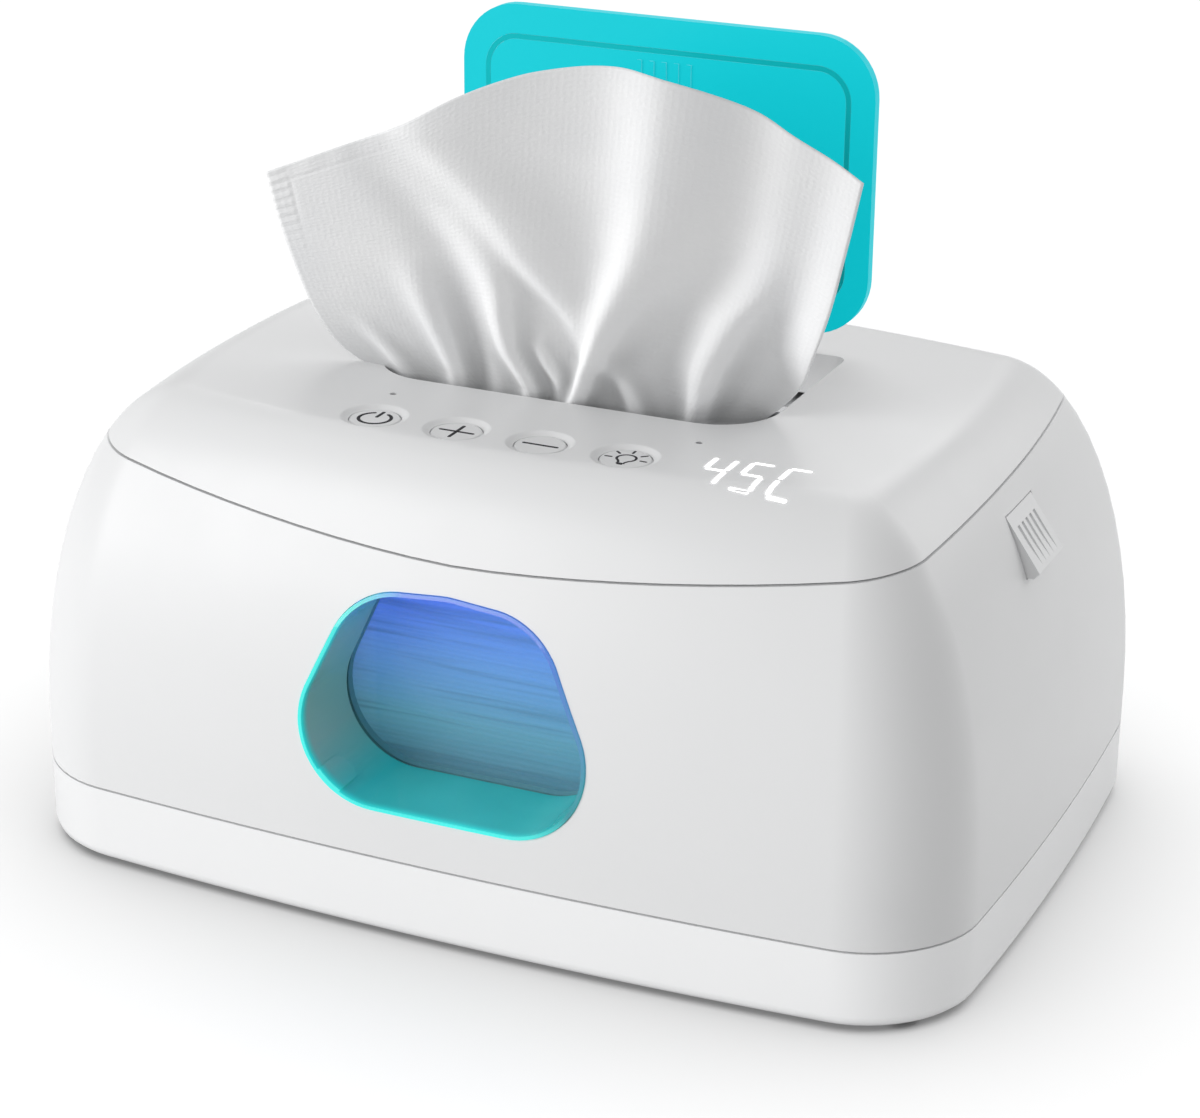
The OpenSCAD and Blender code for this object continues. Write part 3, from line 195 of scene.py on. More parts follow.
class Shade:
    """A material with one Principled shader, and short ways to add nodes to it."""

    def __init__(self, name, colour, rough, **sockets):
        self.material = bpy.data.materials.new(name)
        self.material.use_nodes = True
        self.tree = self.material.node_tree
        self.shader = self.tree.nodes["Principled BSDF"]
        self.shader.inputs["Base Color"].default_value = (*colour, 1)
        self.shader.inputs["Roughness"].default_value = rough
        for key, value in sockets.items():
            self.shader.inputs[key.replace("_", " ")].default_value = value
        self.material.diffuse_color = (*colour, 1)
        self.place = self.add("ShaderNodeTexCoord").outputs["Object"]

    def add(self, kind, **values):
        node = self.tree.nodes.new(kind)
        for key, value in values.items():
            setattr(node, key, value)
        return node

    def link(self, a, b):
        self.tree.links.new(a, b)

    def noise(self, scale, detail=2.0, stretch=(1, 1, 1), rough=0.5):
        mapping = self.add("ShaderNodeMapping")
        mapping.inputs["Scale"].default_value = stretch
        self.link(self.place, mapping.inputs["Vector"])
        node = self.add("ShaderNodeTexNoise")
        node.inputs["Scale"].default_value = scale
        node.inputs["Detail"].default_value = detail
        node.inputs["Roughness"].default_value = rough
        self.link(mapping.outputs["Vector"], node.inputs["Vector"])
        return node.outputs["Fac"]

    def ramp(self, source, *stops):
        """Colours at the stops, each (place, colour)."""
        node = self.add("ShaderNodeValToRGB")
        while len(node.color_ramp.elements) < len(stops):
            node.color_ramp.elements.new(0.5)
        for element, (at, colour) in zip(node.color_ramp.elements, stops):
            element.position = at
            element.color = (*colour, 1)
        self.link(source, node.inputs["Fac"])
        return node.outputs["Color"]

    def span(self, source, low, high, to_low=0.0, to_high=1.0):
        node = self.add("ShaderNodeMapRange")
        limits = {"From Min": low, "From Max": high, "To Min": to_low, "To Max": to_high}
        for key, value in limits.items():
            node.inputs[key].default_value = value
        self.link(source, node.inputs["Value"])
        return node.outputs["Result"]

    def math(self, kind, a, b=0.0, clamp=False):
        node = self.add("ShaderNodeMath", operation=kind, use_clamp=clamp)
        for socket, value in zip(node.inputs, (a, b)):
            if isinstance(value, (int, float)):
                socket.default_value = value
            else:
                self.link(value, socket)
        return node.outputs["Value"]

    def blend(self, factor, a, b):
        """A mix of two colours, each a socket or three numbers."""
        node = self.add("ShaderNodeMix", data_type="RGBA")
        self.link(factor, node.inputs["Factor"])
        for key, value in (("A", a), ("B", b)):
            if isinstance(value, tuple):
                node.inputs[key].default_value = (*value, 1)
            else:
                self.link(value, node.inputs[key])
        return node.outputs["Result"]

    def bands(self, scale):
        node = self.add(
            "ShaderNodeTexWave", wave_type="BANDS", bands_direction="X", wave_profile="SIN"
        )
        node.inputs["Scale"].default_value = scale
        self.link(self.place, node.inputs["Vector"])
        return node.outputs["Fac"]

    def axis(self, letter):
        node = self.add("ShaderNodeSeparateXYZ")
        self.link(self.place, node.inputs["Vector"])
        return node.outputs[letter]

    def colour(self, source):
        self.link(source, self.shader.inputs["Base Color"])
        return self

    def vary_colour(self, source, dark, light):
        return self.colour(self.ramp(source, (0.3, dark), (0.7, light)))

    def vary_rough(self, source, low, high):
        self.link(self.span(source, 0.3, 0.7, low, high), self.shader.inputs["Roughness"])
        return self

    def bump(self, *layers):
        """Each layer is (source, depth in metres)."""
        below = None
        for source, depth in layers:
            node = self.add("ShaderNodeBump")
            node.inputs["Distance"].default_value = depth
            self.link(source, node.inputs["Height"])
            if below:
                self.link(below, node.inputs["Normal"])
            below = node.outputs["Normal"]
        self.link(below, self.shader.inputs["Normal"])
        return self


def moulded(name, colour, rough, grain=0.00001, spread=0.03, **sockets):
    """Moulded plastic: fine spark-eroded grain, faint flow marks and slightly uneven gloss."""
    shade = Shade(name, colour, rough, **sockets)
    cloudy = shade.noise(16, 3)
    shade.vary_colour(cloudy, [c * 0.985 for c in colour], colour)
    shade.vary_rough(shade.noise(60, 2), rough - spread, rough + spread)
    shade.bump((shade.noise(2600, 2), grain), (shade.noise(45, 1), 0.00002))
    return shade


def white_shell():
    return moulded("white_shell", (0.83, 0.835, 0.84), 0.36).material


def liner_white():
    return moulded("liner_white", (0.8, 0.81, 0.82), 0.45).material


def teal_lid():
    # Painted light: the lid glows faintly over a darker base colour, which evens out its shading
    shader_inputs = {"Specular_IOR_Level": 0.15, "Emission_Strength": 0.6}
    shade = moulded("teal_lid", (0.001, 0.275, 0.3), 0.42, **shader_inputs)
    shade.shader.inputs["Emission Color"].default_value = (0.0, 0.62, 0.72, 1)
    return shade.material


def teal_seal():
    # The seal is its own darker teal, and the dark line it draws also stands in for the painted
    # shade of the groove it sits in
    colour = (0.0, 0.54, 0.58)
    return moulded("teal_seal", colour, 0.4, grain=0.000004, Specular_IOR_Level=0.1).material


# The window sleeve's front edge in metres: its level and place at the foot, and how it falls back
# with the curved shell above
SLEEVE_FOOT, SLEEVE_FRONT = 0.03, -0.0827
SLEEVE_SLOPE, SLEEVE_CURVE = 0.0377, 1.367
# Heights between which the glow on the stack of wipes changes its colour
GLOW_LEVELS = (0.026, 0.084)


def teal_tint():
    shader_inputs = {"Alpha": 0.8, "Coat_Weight": 0.5, "Coat_Roughness": 0.05}
    shade = Shade("teal_tint", (0.03, 0.72, 0.68), 0.14, **shader_inputs)
    shade.vary_rough(shade.noise(120, 2), 0.1, 0.22)
    x, y, z = (shade.axis(letter) for letter in "XYZ")
    up = shade.math("SUBTRACT", z, SLEEVE_FOOT)
    slope = shade.math("ADD", shade.math("MULTIPLY", up, SLEEVE_CURVE), SLEEVE_SLOPE)
    behind_front = shade.math("SUBTRACT", y, SLEEVE_FRONT)
    inward = shade.math("SUBTRACT", behind_front, shade.math("MULTIPLY", up, slope))
    diagonal = shade.math("ADD", z, x)
    # Painted glow: the light that gathers in the tinted plastic towards its outer rim, most of it
    # at the lower left, is painted on as emission
    rim = shade.span(inward, 0.0032, 0.0002)
    low_left = shade.span(diagonal, 0.07, 0.045, 0.1, 0.45)
    rim_light = shade.math("MULTIPLY", shade.math("POWER", rim, 2), low_left)
    glow = shade.math("ADD", rim_light, 0.09)
    # Painted light: at the top and right the rim is painted with the colour of the lit stack behind
    # it, glowing over a dark base
    edge = shade.span(inward, 0.0018, 0.0008)
    painted_stack_glow = shade.math("MULTIPLY", shade.span(diagonal, 0.054, 0.07), edge, clamp=True)
    lit = shade.ramp(
        shade.span(z, *GLOW_LEVELS),
        (0.0, (0.01, 0.24, 0.23)), (0.3, (0.02, 0.3, 0.32)),
        (0.55, (0.08, 0.24, 0.5)), (1.0, (0.05, 0.1, 0.8)),
    )
    strength = shade.math("ADD", glow, shade.math("MULTIPLY", painted_stack_glow, 0.6))
    shade.link(strength, shade.shader.inputs["Emission Strength"])
    emitted = shade.blend(painted_stack_glow, (0.015, 0.78, 0.72), lit)
    shade.link(emitted, shade.shader.inputs["Emission Color"])
    # Painted shade: the left wall is painted greyer behind the rim
    left = shade.math("MULTIPLY", shade.span(x, -0.021, -0.028), shade.span(z, 0.03, 0.042))
    painted_left_shade = shade.math("MULTIPLY", left, shade.span(rim, 0.8, 0.1))
    cloudy = shade.ramp(shade.noise(30, 3), (0.3, (0.04, 0.52, 0.49)), (0.7, (0.07, 0.68, 0.63)))
    tinted = shade.blend(painted_left_shade, cloudy, (0.55, 0.5, 0.44))
    shade.colour(shade.blend(painted_stack_glow, tinted, (0.03, 0.08, 0.14)))
    shade.bump((shade.noise(90, 2), 0.00012))
    return shade.material


def window_ring():
    return moulded("window_ring", (0.12, 0.3, 0.3), 0.5, grain=0.000004).material


def dark_pipe():
    return moulded("dark_pipe", (0.2, 0.2, 0.21), 0.3, grain=0.000004).material


def clear_pane():
    shade = Shade("clear_pane", (0.35, 0.7, 0.85), 0.03, Alpha=0.12)
    shade.bump((shade.noise(25, 1), 0.00001))
    shade.vary_rough(shade.noise(300, 2), 0.02, 0.05)
    return shade.material


def silicone():
    return moulded("silicone", (0.78, 0.78, 0.78), 0.5, grain=0.000004).material


def foot_rubber():
    return moulded("foot_rubber", (0.03, 0.03, 0.032), 0.75, grain=0.00003).material


def metal(name, colour, rough):
    shade = Shade(name, colour, rough, Metallic=1.0)
    brushed = shade.noise(900, 3, stretch=(0.05, 1, 1))
    shade.vary_rough(brushed, rough - 0.08, rough + 0.08)
    shade.bump((brushed, 0.000008))
    return shade.material


def steel():
    return metal("steel", (0.55, 0.55, 0.57), 0.34)


def spreader():
    return metal("spreader", (0.76, 0.77, 0.79), 0.3)


def film():
    shade = Shade("film", (0.55, 0.22, 0.03), 0.25)
    shade.vary_colour(shade.bands(35), (0.4, 0.14, 0.02), (0.72, 0.34, 0.06))
    return shade.material


def foam():
    shade = Shade("foam", (0.06, 0.06, 0.065), 0.95)
    cells = shade.add("ShaderNodeTexVoronoi")
    cells.inputs["Scale"].default_value = 900
    shade.link(shade.place, cells.inputs["Vector"])
    shade.vary_colour(cells.outputs["Distance"], (0.045, 0.045, 0.05), (0.09, 0.09, 0.1))
    shade.bump((cells.outputs["Distance"], 0.0002))
    return shade.material


def dark_plastic():
    return moulded("dark_plastic", (0.02, 0.02, 0.022), 0.5).material


def board():
    shade = Shade("board", (0.01, 0.12, 0.04), 0.3)
    tracks = shade.add("ShaderNodeTexBrick")
    tracks.inputs["Scale"].default_value = 180
    tracks.inputs["Color1"].default_value = (0.008, 0.1, 0.035, 1)
    tracks.inputs["Color2"].default_value = (0.012, 0.15, 0.05, 1)
    tracks.inputs["Mortar"].default_value = (0.02, 0.22, 0.08, 1)
    shade.link(shade.place, tracks.inputs["Vector"])
    shade.colour(tracks.outputs["Color"])
    shade.bump((tracks.outputs["Fac"], 0.00003))
    return shade.material


def wire_cover():
    return moulded("wire", (0.4, 0.02, 0.015), 0.45).material


def ribbon():
    shade = Shade("ribbon", (0.6, 0.6, 0.62), 0.5)
    cores = shade.bands(160)
    shade.vary_colour(cores, (0.42, 0.42, 0.44), (0.68, 0.68, 0.7))
    shade.bump((cores, 0.0002))
    return shade.material


def led():
    shade = Shade("led", (0.8, 0.85, 0.95), 0.3, Emission_Strength=1.5)
    shade.shader.inputs["Emission Color"].default_value = (0.35, 0.5, 1.0, 1)
    shade.bump((shade.noise(800, 2), 0.00001))
    return shade.material


MATERIALS = {
    "white_shell": white_shell, "liner_white": liner_white, "teal_lid": teal_lid,
    "teal_seal": teal_seal, "teal_tint": teal_tint, "clear_pane": clear_pane,
    "silicone": silicone, "foot_rubber": foot_rubber, "steel": steel, "spreader": spreader,
    "film": film, "foam": foam, "dark_plastic": dark_plastic, "board": board,
    "wire": wire_cover, "ribbon": ribbon, "led": led,
}


def dress_nodes():
    made = {name: make() for name, make in MATERIALS.items()}
    for part in frame["record"]["subparts"]:
        if part["material_slot"] in made:
            for place in frame["nodes"][part["node"]].material_slots:
                place.material = made[part["material_slot"]]
    for node, material in (("window_seal", window_ring()), ("light_pipes", dark_pipe())):
        for place in frame["nodes"][node].material_slots:
            place.material = material
    return made


def add_mesh(name, points, faces, material, smooth=True):
    mesh = bpy.data.meshes.new(name)
    mesh.from_pydata([tuple(p) for p in points], [], faces)
    mesh.validate()
    for polygon in mesh.polygons:
        polygon.use_smooth = smooth
    mesh.materials.append(material)
    obj = bpy.data.objects.new(name, mesh)
    bpy.context.scene.collection.objects.link(obj)
    return obj


# --- the curved shells, shaded as one smooth surface ---

# Faces that meet at more than this many degrees keep a hard edge between them
SMOOTH_LIMIT = 33


def smooth_copy(node, body, material):
    """The node's own mesh with corner normals averaged over the faces that meet softly."""
    source = frame["nodes"][node].data
    places, points, merged = {}, [], []
    for vertex in source.vertices:
        key = tuple(round(c, 7) for c in vertex.co)
        if key not in places:
            places[key] = len(points)
            points.append(vertex.co.copy())
        merged.append(places[key])
    faces = []
    for polygon in source.polygons:
        corners = [merged[v] for v in polygon.vertices]
        if len(set(corners)) == len(corners):
            faces.append(corners)
    around = [[] for _ in points]
    normals = []
    for k, corners in enumerate(faces):
        a, b, c = (points[v] for v in corners[:3])
        area = (b - a).cross(c - a)
        normals.append((area.normalized(), area.length))
        for v in corners:
            around[v].append(k)
    least = math.cos(math.radians(SMOOTH_LIMIT))
    corner_normals = []
    for k, corners in enumerate(faces):
        own = normals[k][0]
        for v in corners:
            total = Vector((0, 0, 0))
            for other in around[v]:
                direction, area = normals[other]
                if own.dot(direction) > least:
                    total += direction * area
            corner_normals.append(total.normalized() if total.length > 0 else own)
    copy = add_mesh(node + "_smooth", points, faces, material)
    if len(copy.data.loops) == len(corner_normals):
        copy.data.normals_split_custom_set([tuple(n) for n in corner_normals])
    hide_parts(node)
    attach(copy, body)
    return copy


def smooth_shells(made):
    shells = (
        ("body_shell", "housing", "white_shell"), ("base_tray", "housing", "white_shell"),
        ("top_cover", "cover", "white_shell"), ("window_sleeve", "housing", "teal_tint"),
    )
    return {node: smooth_copy(node, body, made[slot]) for node, body, slot in shells}


# --- lines on the shell: icons and digits ---

class Skin:
    """Finds the height of a shell node under a point, to lay thin print on it."""

    def __init__(self, *nodes):
        self.trees = []
        for node in nodes:
            mesh = frame["nodes"][node].data
            points = [v.co.copy() for v in mesh.vertices]
            faces = [tuple(p.vertices) for p in mesh.polygons]
            self.trees.append(BVHTree.FromPolygons(points, faces))

    def height(self, x, y):
        above, down = Vector((x, y, 0.3)), Vector((0, 0, -1))
        found = [tree.ray_cast(above, down)[0] for tree in self.trees]
        return max(hit.z for hit in found if hit)


def stroke_outline(points, width, ends=6):
    """Corner points of a round-ended stroke along a line of points, as one strip of pairs."""
    rows = []
    n = len(points)
    for k, (x, y) in enumerate(points):
        before, after = points[max(0, k - 1)], points[min(n - 1, k + 1)]
        dx, dy = after[0] - before[0], after[1] - before[1]
        size = math.hypot(dx, dy) or 1
        rows.append((x, y, -dy / size, dx / size, dx / size, dy / size))
    strip = []
    first, last = rows[0], rows[-1]
    for k in range(ends, 0, -1):
        a = math.pi / 2 * k / ends
        strip.append((first, -math.sin(a), math.cos(a)))
    strip += [(row, 0, 1) for row in rows]
    for k in range(1, ends + 1):
        a = math.pi / 2 * k / ends
        strip.append((last, math.sin(a), math.cos(a)))
    half = width / 2
    return [
        [
            (
                x + half * (ahead * ux + side * across * nx),
                y + half * (ahead * uy + side * across * ny),
            )
            for side in (1, -1)
        ]
        for (x, y, nx, ny, ux, uy), ahead, across in strip
    ]


def print_strokes(name, strokes, width, skin, lift, material):
    """Lays strokes, lists of points in metres, on the skin as one thin raised mesh."""
    points, faces = [], []
    for line in strokes:
        pairs = stroke_outline(line, width)
        start = len(points)
        for pair in pairs:
            for x, y in pair:
                z = skin.height(x, y)
                points += [(x, y, z + lift), (x, y, z - lift / 2)]
        for k in range(len(pairs) - 1):
            a, b = start + 4 * k, start + 4 * (k + 1)
            faces += [
                (a, b, b + 2, a + 2), (a + 1, a + 3, b + 3, b + 1),
                (a, a + 1, b + 1, b), (a + 2, b + 2, b + 3, a + 3),
            ]
        end = start + 4 * (len(pairs) - 1)
        faces += [(start, start + 2, start + 3, start + 1), (end, end + 1, end + 3, end + 2)]
    return add_mesh(name, points, faces, material, smooth=False)


def arc(cx, cy, r, start, stop, n=28):
    return [
        (cx + r * math.cos(math.radians(start + (stop - start) * k / n)),
         cy + r * math.sin(math.radians(start + (stop - start) * k / n)))
        for k in range(n + 1)
    ]


def line(x0, y0, x1, y1, n=6):
    return [(x0 + (x1 - x0) * k / n, y0 + (y1 - y0) * k / n) for k in range(n + 1)]


def ink():
    shade = Shade("ink", (0.03, 0.03, 0.034), 0.6, Specular_IOR_Level=0.15)
    shade.vary_colour(shade.noise(900, 2), (0.022, 0.022, 0.026), (0.04, 0.04, 0.045))
    shade.bump((shade.noise(3000, 2), 0.000006))
    return shade.material


def lit_segments(name, power, alpha):
    shade = Shade(name, (1, 1, 1), 0.4, Emission_Strength=power, Alpha=alpha)
    shade.shader.inputs["Emission Color"].default_value = (1, 1, 1, 1)
    shade.vary_rough(shade.noise(800, 2), 0.35, 0.45)
    return shade.material


# Stroke widths and height over the button in mm
ICON_STROKE, BULB_STROKE, ICON_LIFT = 0.78, 0.55, 0.03


def bulb_strokes():
    glass = [(-0.75, -2.3)] + arc(0, 0.4, 2.1, -55, 235)[::-1] + [(0.75, -2.3)]
    strokes = [glass, line(-0.75, -2.9, 0.75, -2.9), line(-0.45, -3.5, 0.45, -3.5)]
    for angle in (-5, 42, 90, 138, 185):
        c, q = math.cos(math.radians(angle)), math.sin(math.radians(angle))
        strokes.append(line(3.4 * c, 0.4 + 3.4 * q, 4.7 * c, 0.4 + 4.7 * q, 2))
    return strokes


def button_icons():
    material = ink()
    plus = [line(-3.9, 0, 3.9, 0, 10), line(0, -3.6, 0, 3.6, 10)]
    icons = {
        "power_button": (ICON_STROKE, [arc(0, 0, 3.6, 118, 422, 48), line(0, 0.9, 0, 4.2)]),
        "plus_button": (ICON_STROKE, plus),
        "minus_button": (ICON_STROKE, plus[:1]),
        "light_button": (BULB_STROKE, bulb_strokes()),
    }
    for body, (width, strokes) in icons.items():
        low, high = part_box(body)
        cx, cy = (low[0] + high[0]) / 2, (low[1] + high[1]) / 2
        placed = [[(cx + x * MM, cy + y * MM) for x, y in points] for points in strokes]
        icon = print_strokes(
            body + "_icon", placed, width * MM, Skin(body), ICON_LIFT * MM, material
        )
        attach(icon, body)


# Ends of each segment, across and down a digit, both from 0 to 1
SEGMENTS = {
    "top": ((0.12, 0), (0.88, 0)),
    "middle": ((0.12, 0.5), (0.88, 0.5)),
    "bottom": ((0.12, 1), (0.88, 1)),
    "upper_left": ((0, 0.07), (0, 0.43)),
    "lower_left": ((0, 0.57), (0, 0.93)),
    "upper_right": ((1, 0.07), (1, 0.43)),
    "lower_right": ((1, 0.57), (1, 0.93)),
}
# Left edge in mm and lit segments of each digit
DIGITS = (
    (47.2, ("upper_left", "upper_right", "middle", "lower_right")),
    (55.4, ("top", "upper_left", "middle", "lower_right", "bottom")),
    (63.8, ("top", "upper_left", "lower_left", "bottom")),
)
DIGIT_TOP, DIGIT_HEIGHT, DIGIT_WIDTH = -42.7, 14.6, 4.6


def display_digits():
    strokes = []
    for left, names in DIGITS:
        for name in names:
            ends = [
                (left + DIGIT_WIDTH * u, DIGIT_TOP - DIGIT_HEIGHT * v) for u, v in SEGMENTS[name]
            ]
            strokes.append(line(*(c * MM for end in ends for c in end)))
    for name, width, lift, material in (
        ("display_digits", 1.05, 0.03, lit_segments("lit_segments", 1.2, 1.0)),
        # The halo is a painted glow round the lit digits, spread over the cover
        ("display_halo", 1.8, 0.02, lit_segments("halo", 0.2, 0.35)),
    ):
        digits = print_strokes(name, strokes, width * MM, Skin("top_cover"), lift * MM, material)
        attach(digits, "cover")


# --- the wipes ---

def mix(a, b, f):
    return a + (b - a) * f


def clamp(v):
    return max(0.0, min(1.0, v))


def ease(v):
    v = clamp(v)
    return v * v * (3 - 2 * v)


def along(stops, v):
    """Value at v on a line through the (v, value) stops."""
    if v <= stops[0][0]:
        return stops[0][1]
    for (v0, a), (v1, b) in zip(stops, stops[1:]):
        if v <= v1:
            return mix(a, b, (v - v0) / (v1 - v0))
    return stops[-1][1]


def bend(stops, v):
    """The same on a smooth curve through the stops."""
    if v <= stops[0][0]:
        return stops[0][1]
    if v >= stops[-1][0]:
        return stops[-1][1]
    k = max(i for i in range(len(stops) - 1) if stops[i][0] <= v)
    (v1, b), (v2, c) = stops[k], stops[k + 1]
    v0, a = stops[max(0, k - 1)]
    v3, d = stops[min(len(stops) - 1, k + 2)]
    f = (v - v1) / (v2 - v1)
    m1 = (c - a) / (v2 - v0) * (v2 - v1)
    m2 = (d - b) / (v3 - v1) * (v2 - v1)
    return (
        (2 * f**3 - 3 * f**2 + 1) * b + (f**3 - 2 * f**2 + f) * m1
        + (3 * f**2 - 2 * f**3) * c + (f**3 - f**2) * m2
    )


def strips(rows, n, closed=False):
    """Quads between rows of n points each, up to the row numbered rows."""
    across = n if closed else n - 1
    return [
        (r * n + k, r * n + (k + 1) % n, (r + 1) * n + (k + 1) % n, (r + 1) * n + k)
        for r in range(rows) for k in range(across)
    ]


# Each fold in mm: its line as (z, x), how far it stands forward at levels z, and its widths at
# levels z to the left and right
FOLDS = (
    {
        "line": (
            (118, 7), (127, 2.8), (133, -3.3), (139, -9.6), (145, -14.5), (151, -20.7),
            (156, -27.8), (162, -36.5),
        ),
        "high": (
            (114, 0), (120, 1.6), (130, 3.2), (150, 4.2), (164, 3.4), (172, 2.6),
        ),
        "wide": (
            (118, 2.5, 4), (130, 5, 9), (145, 8, 14), (165, 12, 18),
        ),
    },
    {
        "line": (
            (110, -6.6), (113, -8.6), (118, -12.3), (125, -15), (131, -16.5), (137, -20.2),
            (143, -26.7), (147, -32),
        ),
        "high": (
            (108, 2.4), (118, 3.4), (130, 3.2), (138, 1.8), (147, 0),
        ),
        "wide": (
            (108, 3, 2.2), (125, 4.5, 3.2), (146, 8, 6),
        ),
    },
    {
        "line": (
            (108, 1), (112, 0.2), (116, -3.1), (120, -6.4),
        ),
        "high": (
            (108, 1.8), (116, 1.8), (122, 0.4), (125, 0),
        ),
        "wide": (
            (108, 2, 2), (122, 2.6, 2.6),
        ),
    },
    {
        "line": (
            (111, -25.8), (116, -28.5), (122, -32.3), (128, -36), (136, -40.4),
        ),
        "high": (
            (108, 1.6), (116, 2.2), (126, 2), (136, 0),
        ),
        "wide": (
            (108, 3, 3), (130, 6, 4.5),
        ),
    },
    {
        "line": (
            (109, -39.2), (112, -42), (116, -47.4), (120, -52.9),
        ),
        "high": (
            (108, 1.6), (113, 1.4), (118, 0.5), (121, 0),
        ),
        "wide": (
            (108, 3, 4), (118, 4, 4),
        ),
    },
    {
        "line": (
            (108, 3.8), (111, 5), (116, 7), (122, 9.8), (129, 12.3), (135.5, 15), (142, 18),
            (149, 20.2), (156, 21.6), (162, 22.3), (170, 22.8), (184, 22.8),
        ),
        "high": (
            (108, 4), (116, 5), (128, 6), (145, 7), (165, 7), (184, 5.5),
        ),
        "wide": (
            (108, 1.6, 3.5), (118, 3, 5), (130, 5.5, 9), (145, 9, 14), (160, 12, 18),
            (184, 13, 20),
        ),
    },
    {
        "line": (
            (108, 18.5), (111, 17.3), (117, 13.2), (122, 9.1),
        ),
        "high": (
            (108, 1.8), (115, 1.6), (120, 0.5), (123, 0),
        ),
        "wide": (
            (108, 2.4, 2.2), (120, 3, 3),
        ),
    },
    {
        "line": (
            (108, 32.5), (114, 34.3), (120, 35.8), (125.5, 38.1), (132.5, 41.6), (139, 46),
            (146, 48.8), (153, 50), (159, 50.7), (166, 51.7), (178, 52.2),
        ),
        "high": (
            (108, 3.8), (118, 6.2), (132, 6.4), (145, 4.4), (160, 3.0), (178, 2.4),
        ),
        "wide": (
            (108, 3.5, 2.6), (120, 6.5, 4.5), (132, 8, 6.5), (150, 8, 8), (178, 8, 9),
        ),
    },
    {
        "line": (
            (108, 50), (117, 60), (128, 65), (141, 70), (154, 74), (167, 76),
        ),
        "high": (
            (108, 2.5), (117, 6.5), (128, 10.5), (150, 13), (170, 11),
        ),
        "wide": (
            (108, 5, 5), (117, 8, 8), (128, 12, 11), (150, 17, 14), (170, 19, 14),
        ),
    },
    {
        "line": (
            (108, -20), (122, -25), (140, -34), (160, -56),
        ),
        "high": (
            (108, -1.6), (122, -2), (145, -1.6), (160, 0),
        ),
        "wide": (
            (108, 3, 3), (150, 8, 8),
        ),
    },
)


def fold_depth(x, z):
    """How far the folds bring the cloth forward at x and z, in mm."""
    total = 0.0
    for fold in FOLDS:
        high = bend(fold["high"], z)
        if abs(high) < 0.01:
            continue
        d = x - bend(fold["line"], z)
        side = 1 if d < 0 else 2
        wide = along([(stop[0], stop[side]) for stop in fold["wide"]], z)
        total += high * math.exp(-((d / wide) ** 2))
    return total


# How light the cloth is painted at levels z in mm, and below the level of the opening: painted
# shade, darkest at the foot
PAINTED_SHADING_LEVELS = ((108, 0.25), (112, 0.42), (117, 0.66), (124, 0.86), (136, 1.0))
OPENING_Z, PAINTED_SHADING_INSIDE = 107.4, 0.85
# A hollow is measured against the cloth this far to each side, in mm
HOLLOW_REACH = 3.5


def painted_shading_at(x, z):
    """How light the cloth is painted: painted shade at the foot and in the valleys near it, painted
    highlight on ridges.
    """
    if z < OPENING_Z:
        return PAINTED_SHADING_INSIDE
    beside = (fold_depth(x - HOLLOW_REACH, z) + fold_depth(x + HOLLOW_REACH, z)) / 2
    hollow = beside - fold_depth(x, z)
    # Painted highlight on ridges, painted shade in valleys near the foot
    ridge = 0.6 * clamp(-hollow / 1.2)
    valley = 0.22 * clamp(hollow / 1.4) * ease((150 - z) / 26)
    return clamp(along(PAINTED_SHADING_LEVELS, z) + ridge - valley)


# The top edge from left to right: s from 0 to 1, then x and z in mm
TOP_EDGE = (
    (0.0, -79.4, 149.0), (0.11, -62.0, 156.3), (0.235, -43.3, 164.3), (0.345, -29.0, 172.2),
    (0.435, -15.9, 177.6), (0.5, -6.3, 180.1), (0.56, 3.1, 181.7), (0.62, 12.6, 182.2),
    (0.71, 26.9, 180.6), (0.8, 41.0, 177.0), (0.87, 51.6, 173.0), (1.0, 69.6, 166.3),
)
# How far the side edges have spread outwards, against the height, both from 0 to 1
LEFT_EDGE = (
    (0, 0), (0.03, 0.1), (0.07, 0.24), (0.15, 0.4), (0.3, 0.57), (0.5, 0.72), (0.75, 0.875),
    (1, 1),
)
RIGHT_EDGE = (
    (0, 0), (0.03, 0.07), (0.077, 0.2), (0.16, 0.39), (0.3, 0.6), (0.5, 0.79), (0.75, 0.915),
    (1, 1),
)
# Where the cloth leaves the opening: level, half width, middle, and how far its left and right
# ends lie further back, in mm
FOOT_Z, FOOT_HALF, FOOT_Y = 107.5, 45.5, -20.5
LEFT_BACK, RIGHT_BACK = 2.2, 8.5
# Under the opening: level and middle of the gathered cloth in mm, and its share of the foot's width
LOW_Z, LOW_Y, GATHERED = 86.2, -14.5, 0.84
# Level of the stack's top and width of the cloth that lies on it, in mm
REST_Z, REST_WIDTH = 84.15, 168
# The free end runs back over the stack, turns over and comes forward again
BACK, TURN, RETURN = 59.0, 0.9, 41.0
TAIL = [BACK * k / 24 for k in range(24)] + [BACK + math.pi * TURN * k / 8 for k in range(9)]
TAIL += [BACK + math.pi * TURN + RETURN * k / 16 for k in range(1, 17)]
COLS, ROWS, LOW_ROWS, TAIL_ROWS = 200, 120, 22, len(TAIL) - 1


def wipe_row(s, t):
    """The visible part: s across and t up, both from 0 to 1."""
    top_x = bend([(at, x) for at, x, z in TOP_EDGE], s)
    top_z = bend([(at, z) for at, x, z in TOP_EDGE], s)
    foot_x = mix(-FOOT_HALF, FOOT_HALF, s)
    x = mix(foot_x, top_x, mix(bend(LEFT_EDGE, t), bend(RIGHT_EDGE, t), s))
    z = mix(FOOT_Z, top_z, t)
    side = foot_x / FOOT_HALF
    back = LEFT_BACK if side < 0 else mix(RIGHT_BACK, 1.0, ease(2.2 * t))
    foot_y = FOOT_Y + back * abs(side) ** 3.2
    y = foot_y + 0.15 * (z - FOOT_Z) + 1.4 * math.sin(3.0 * s + 0.6) * t
    keep = 1 if t > 0.08 else mix(0.72, 1, t / 0.08)
    return x, y - fold_depth(x, z) * keep, z


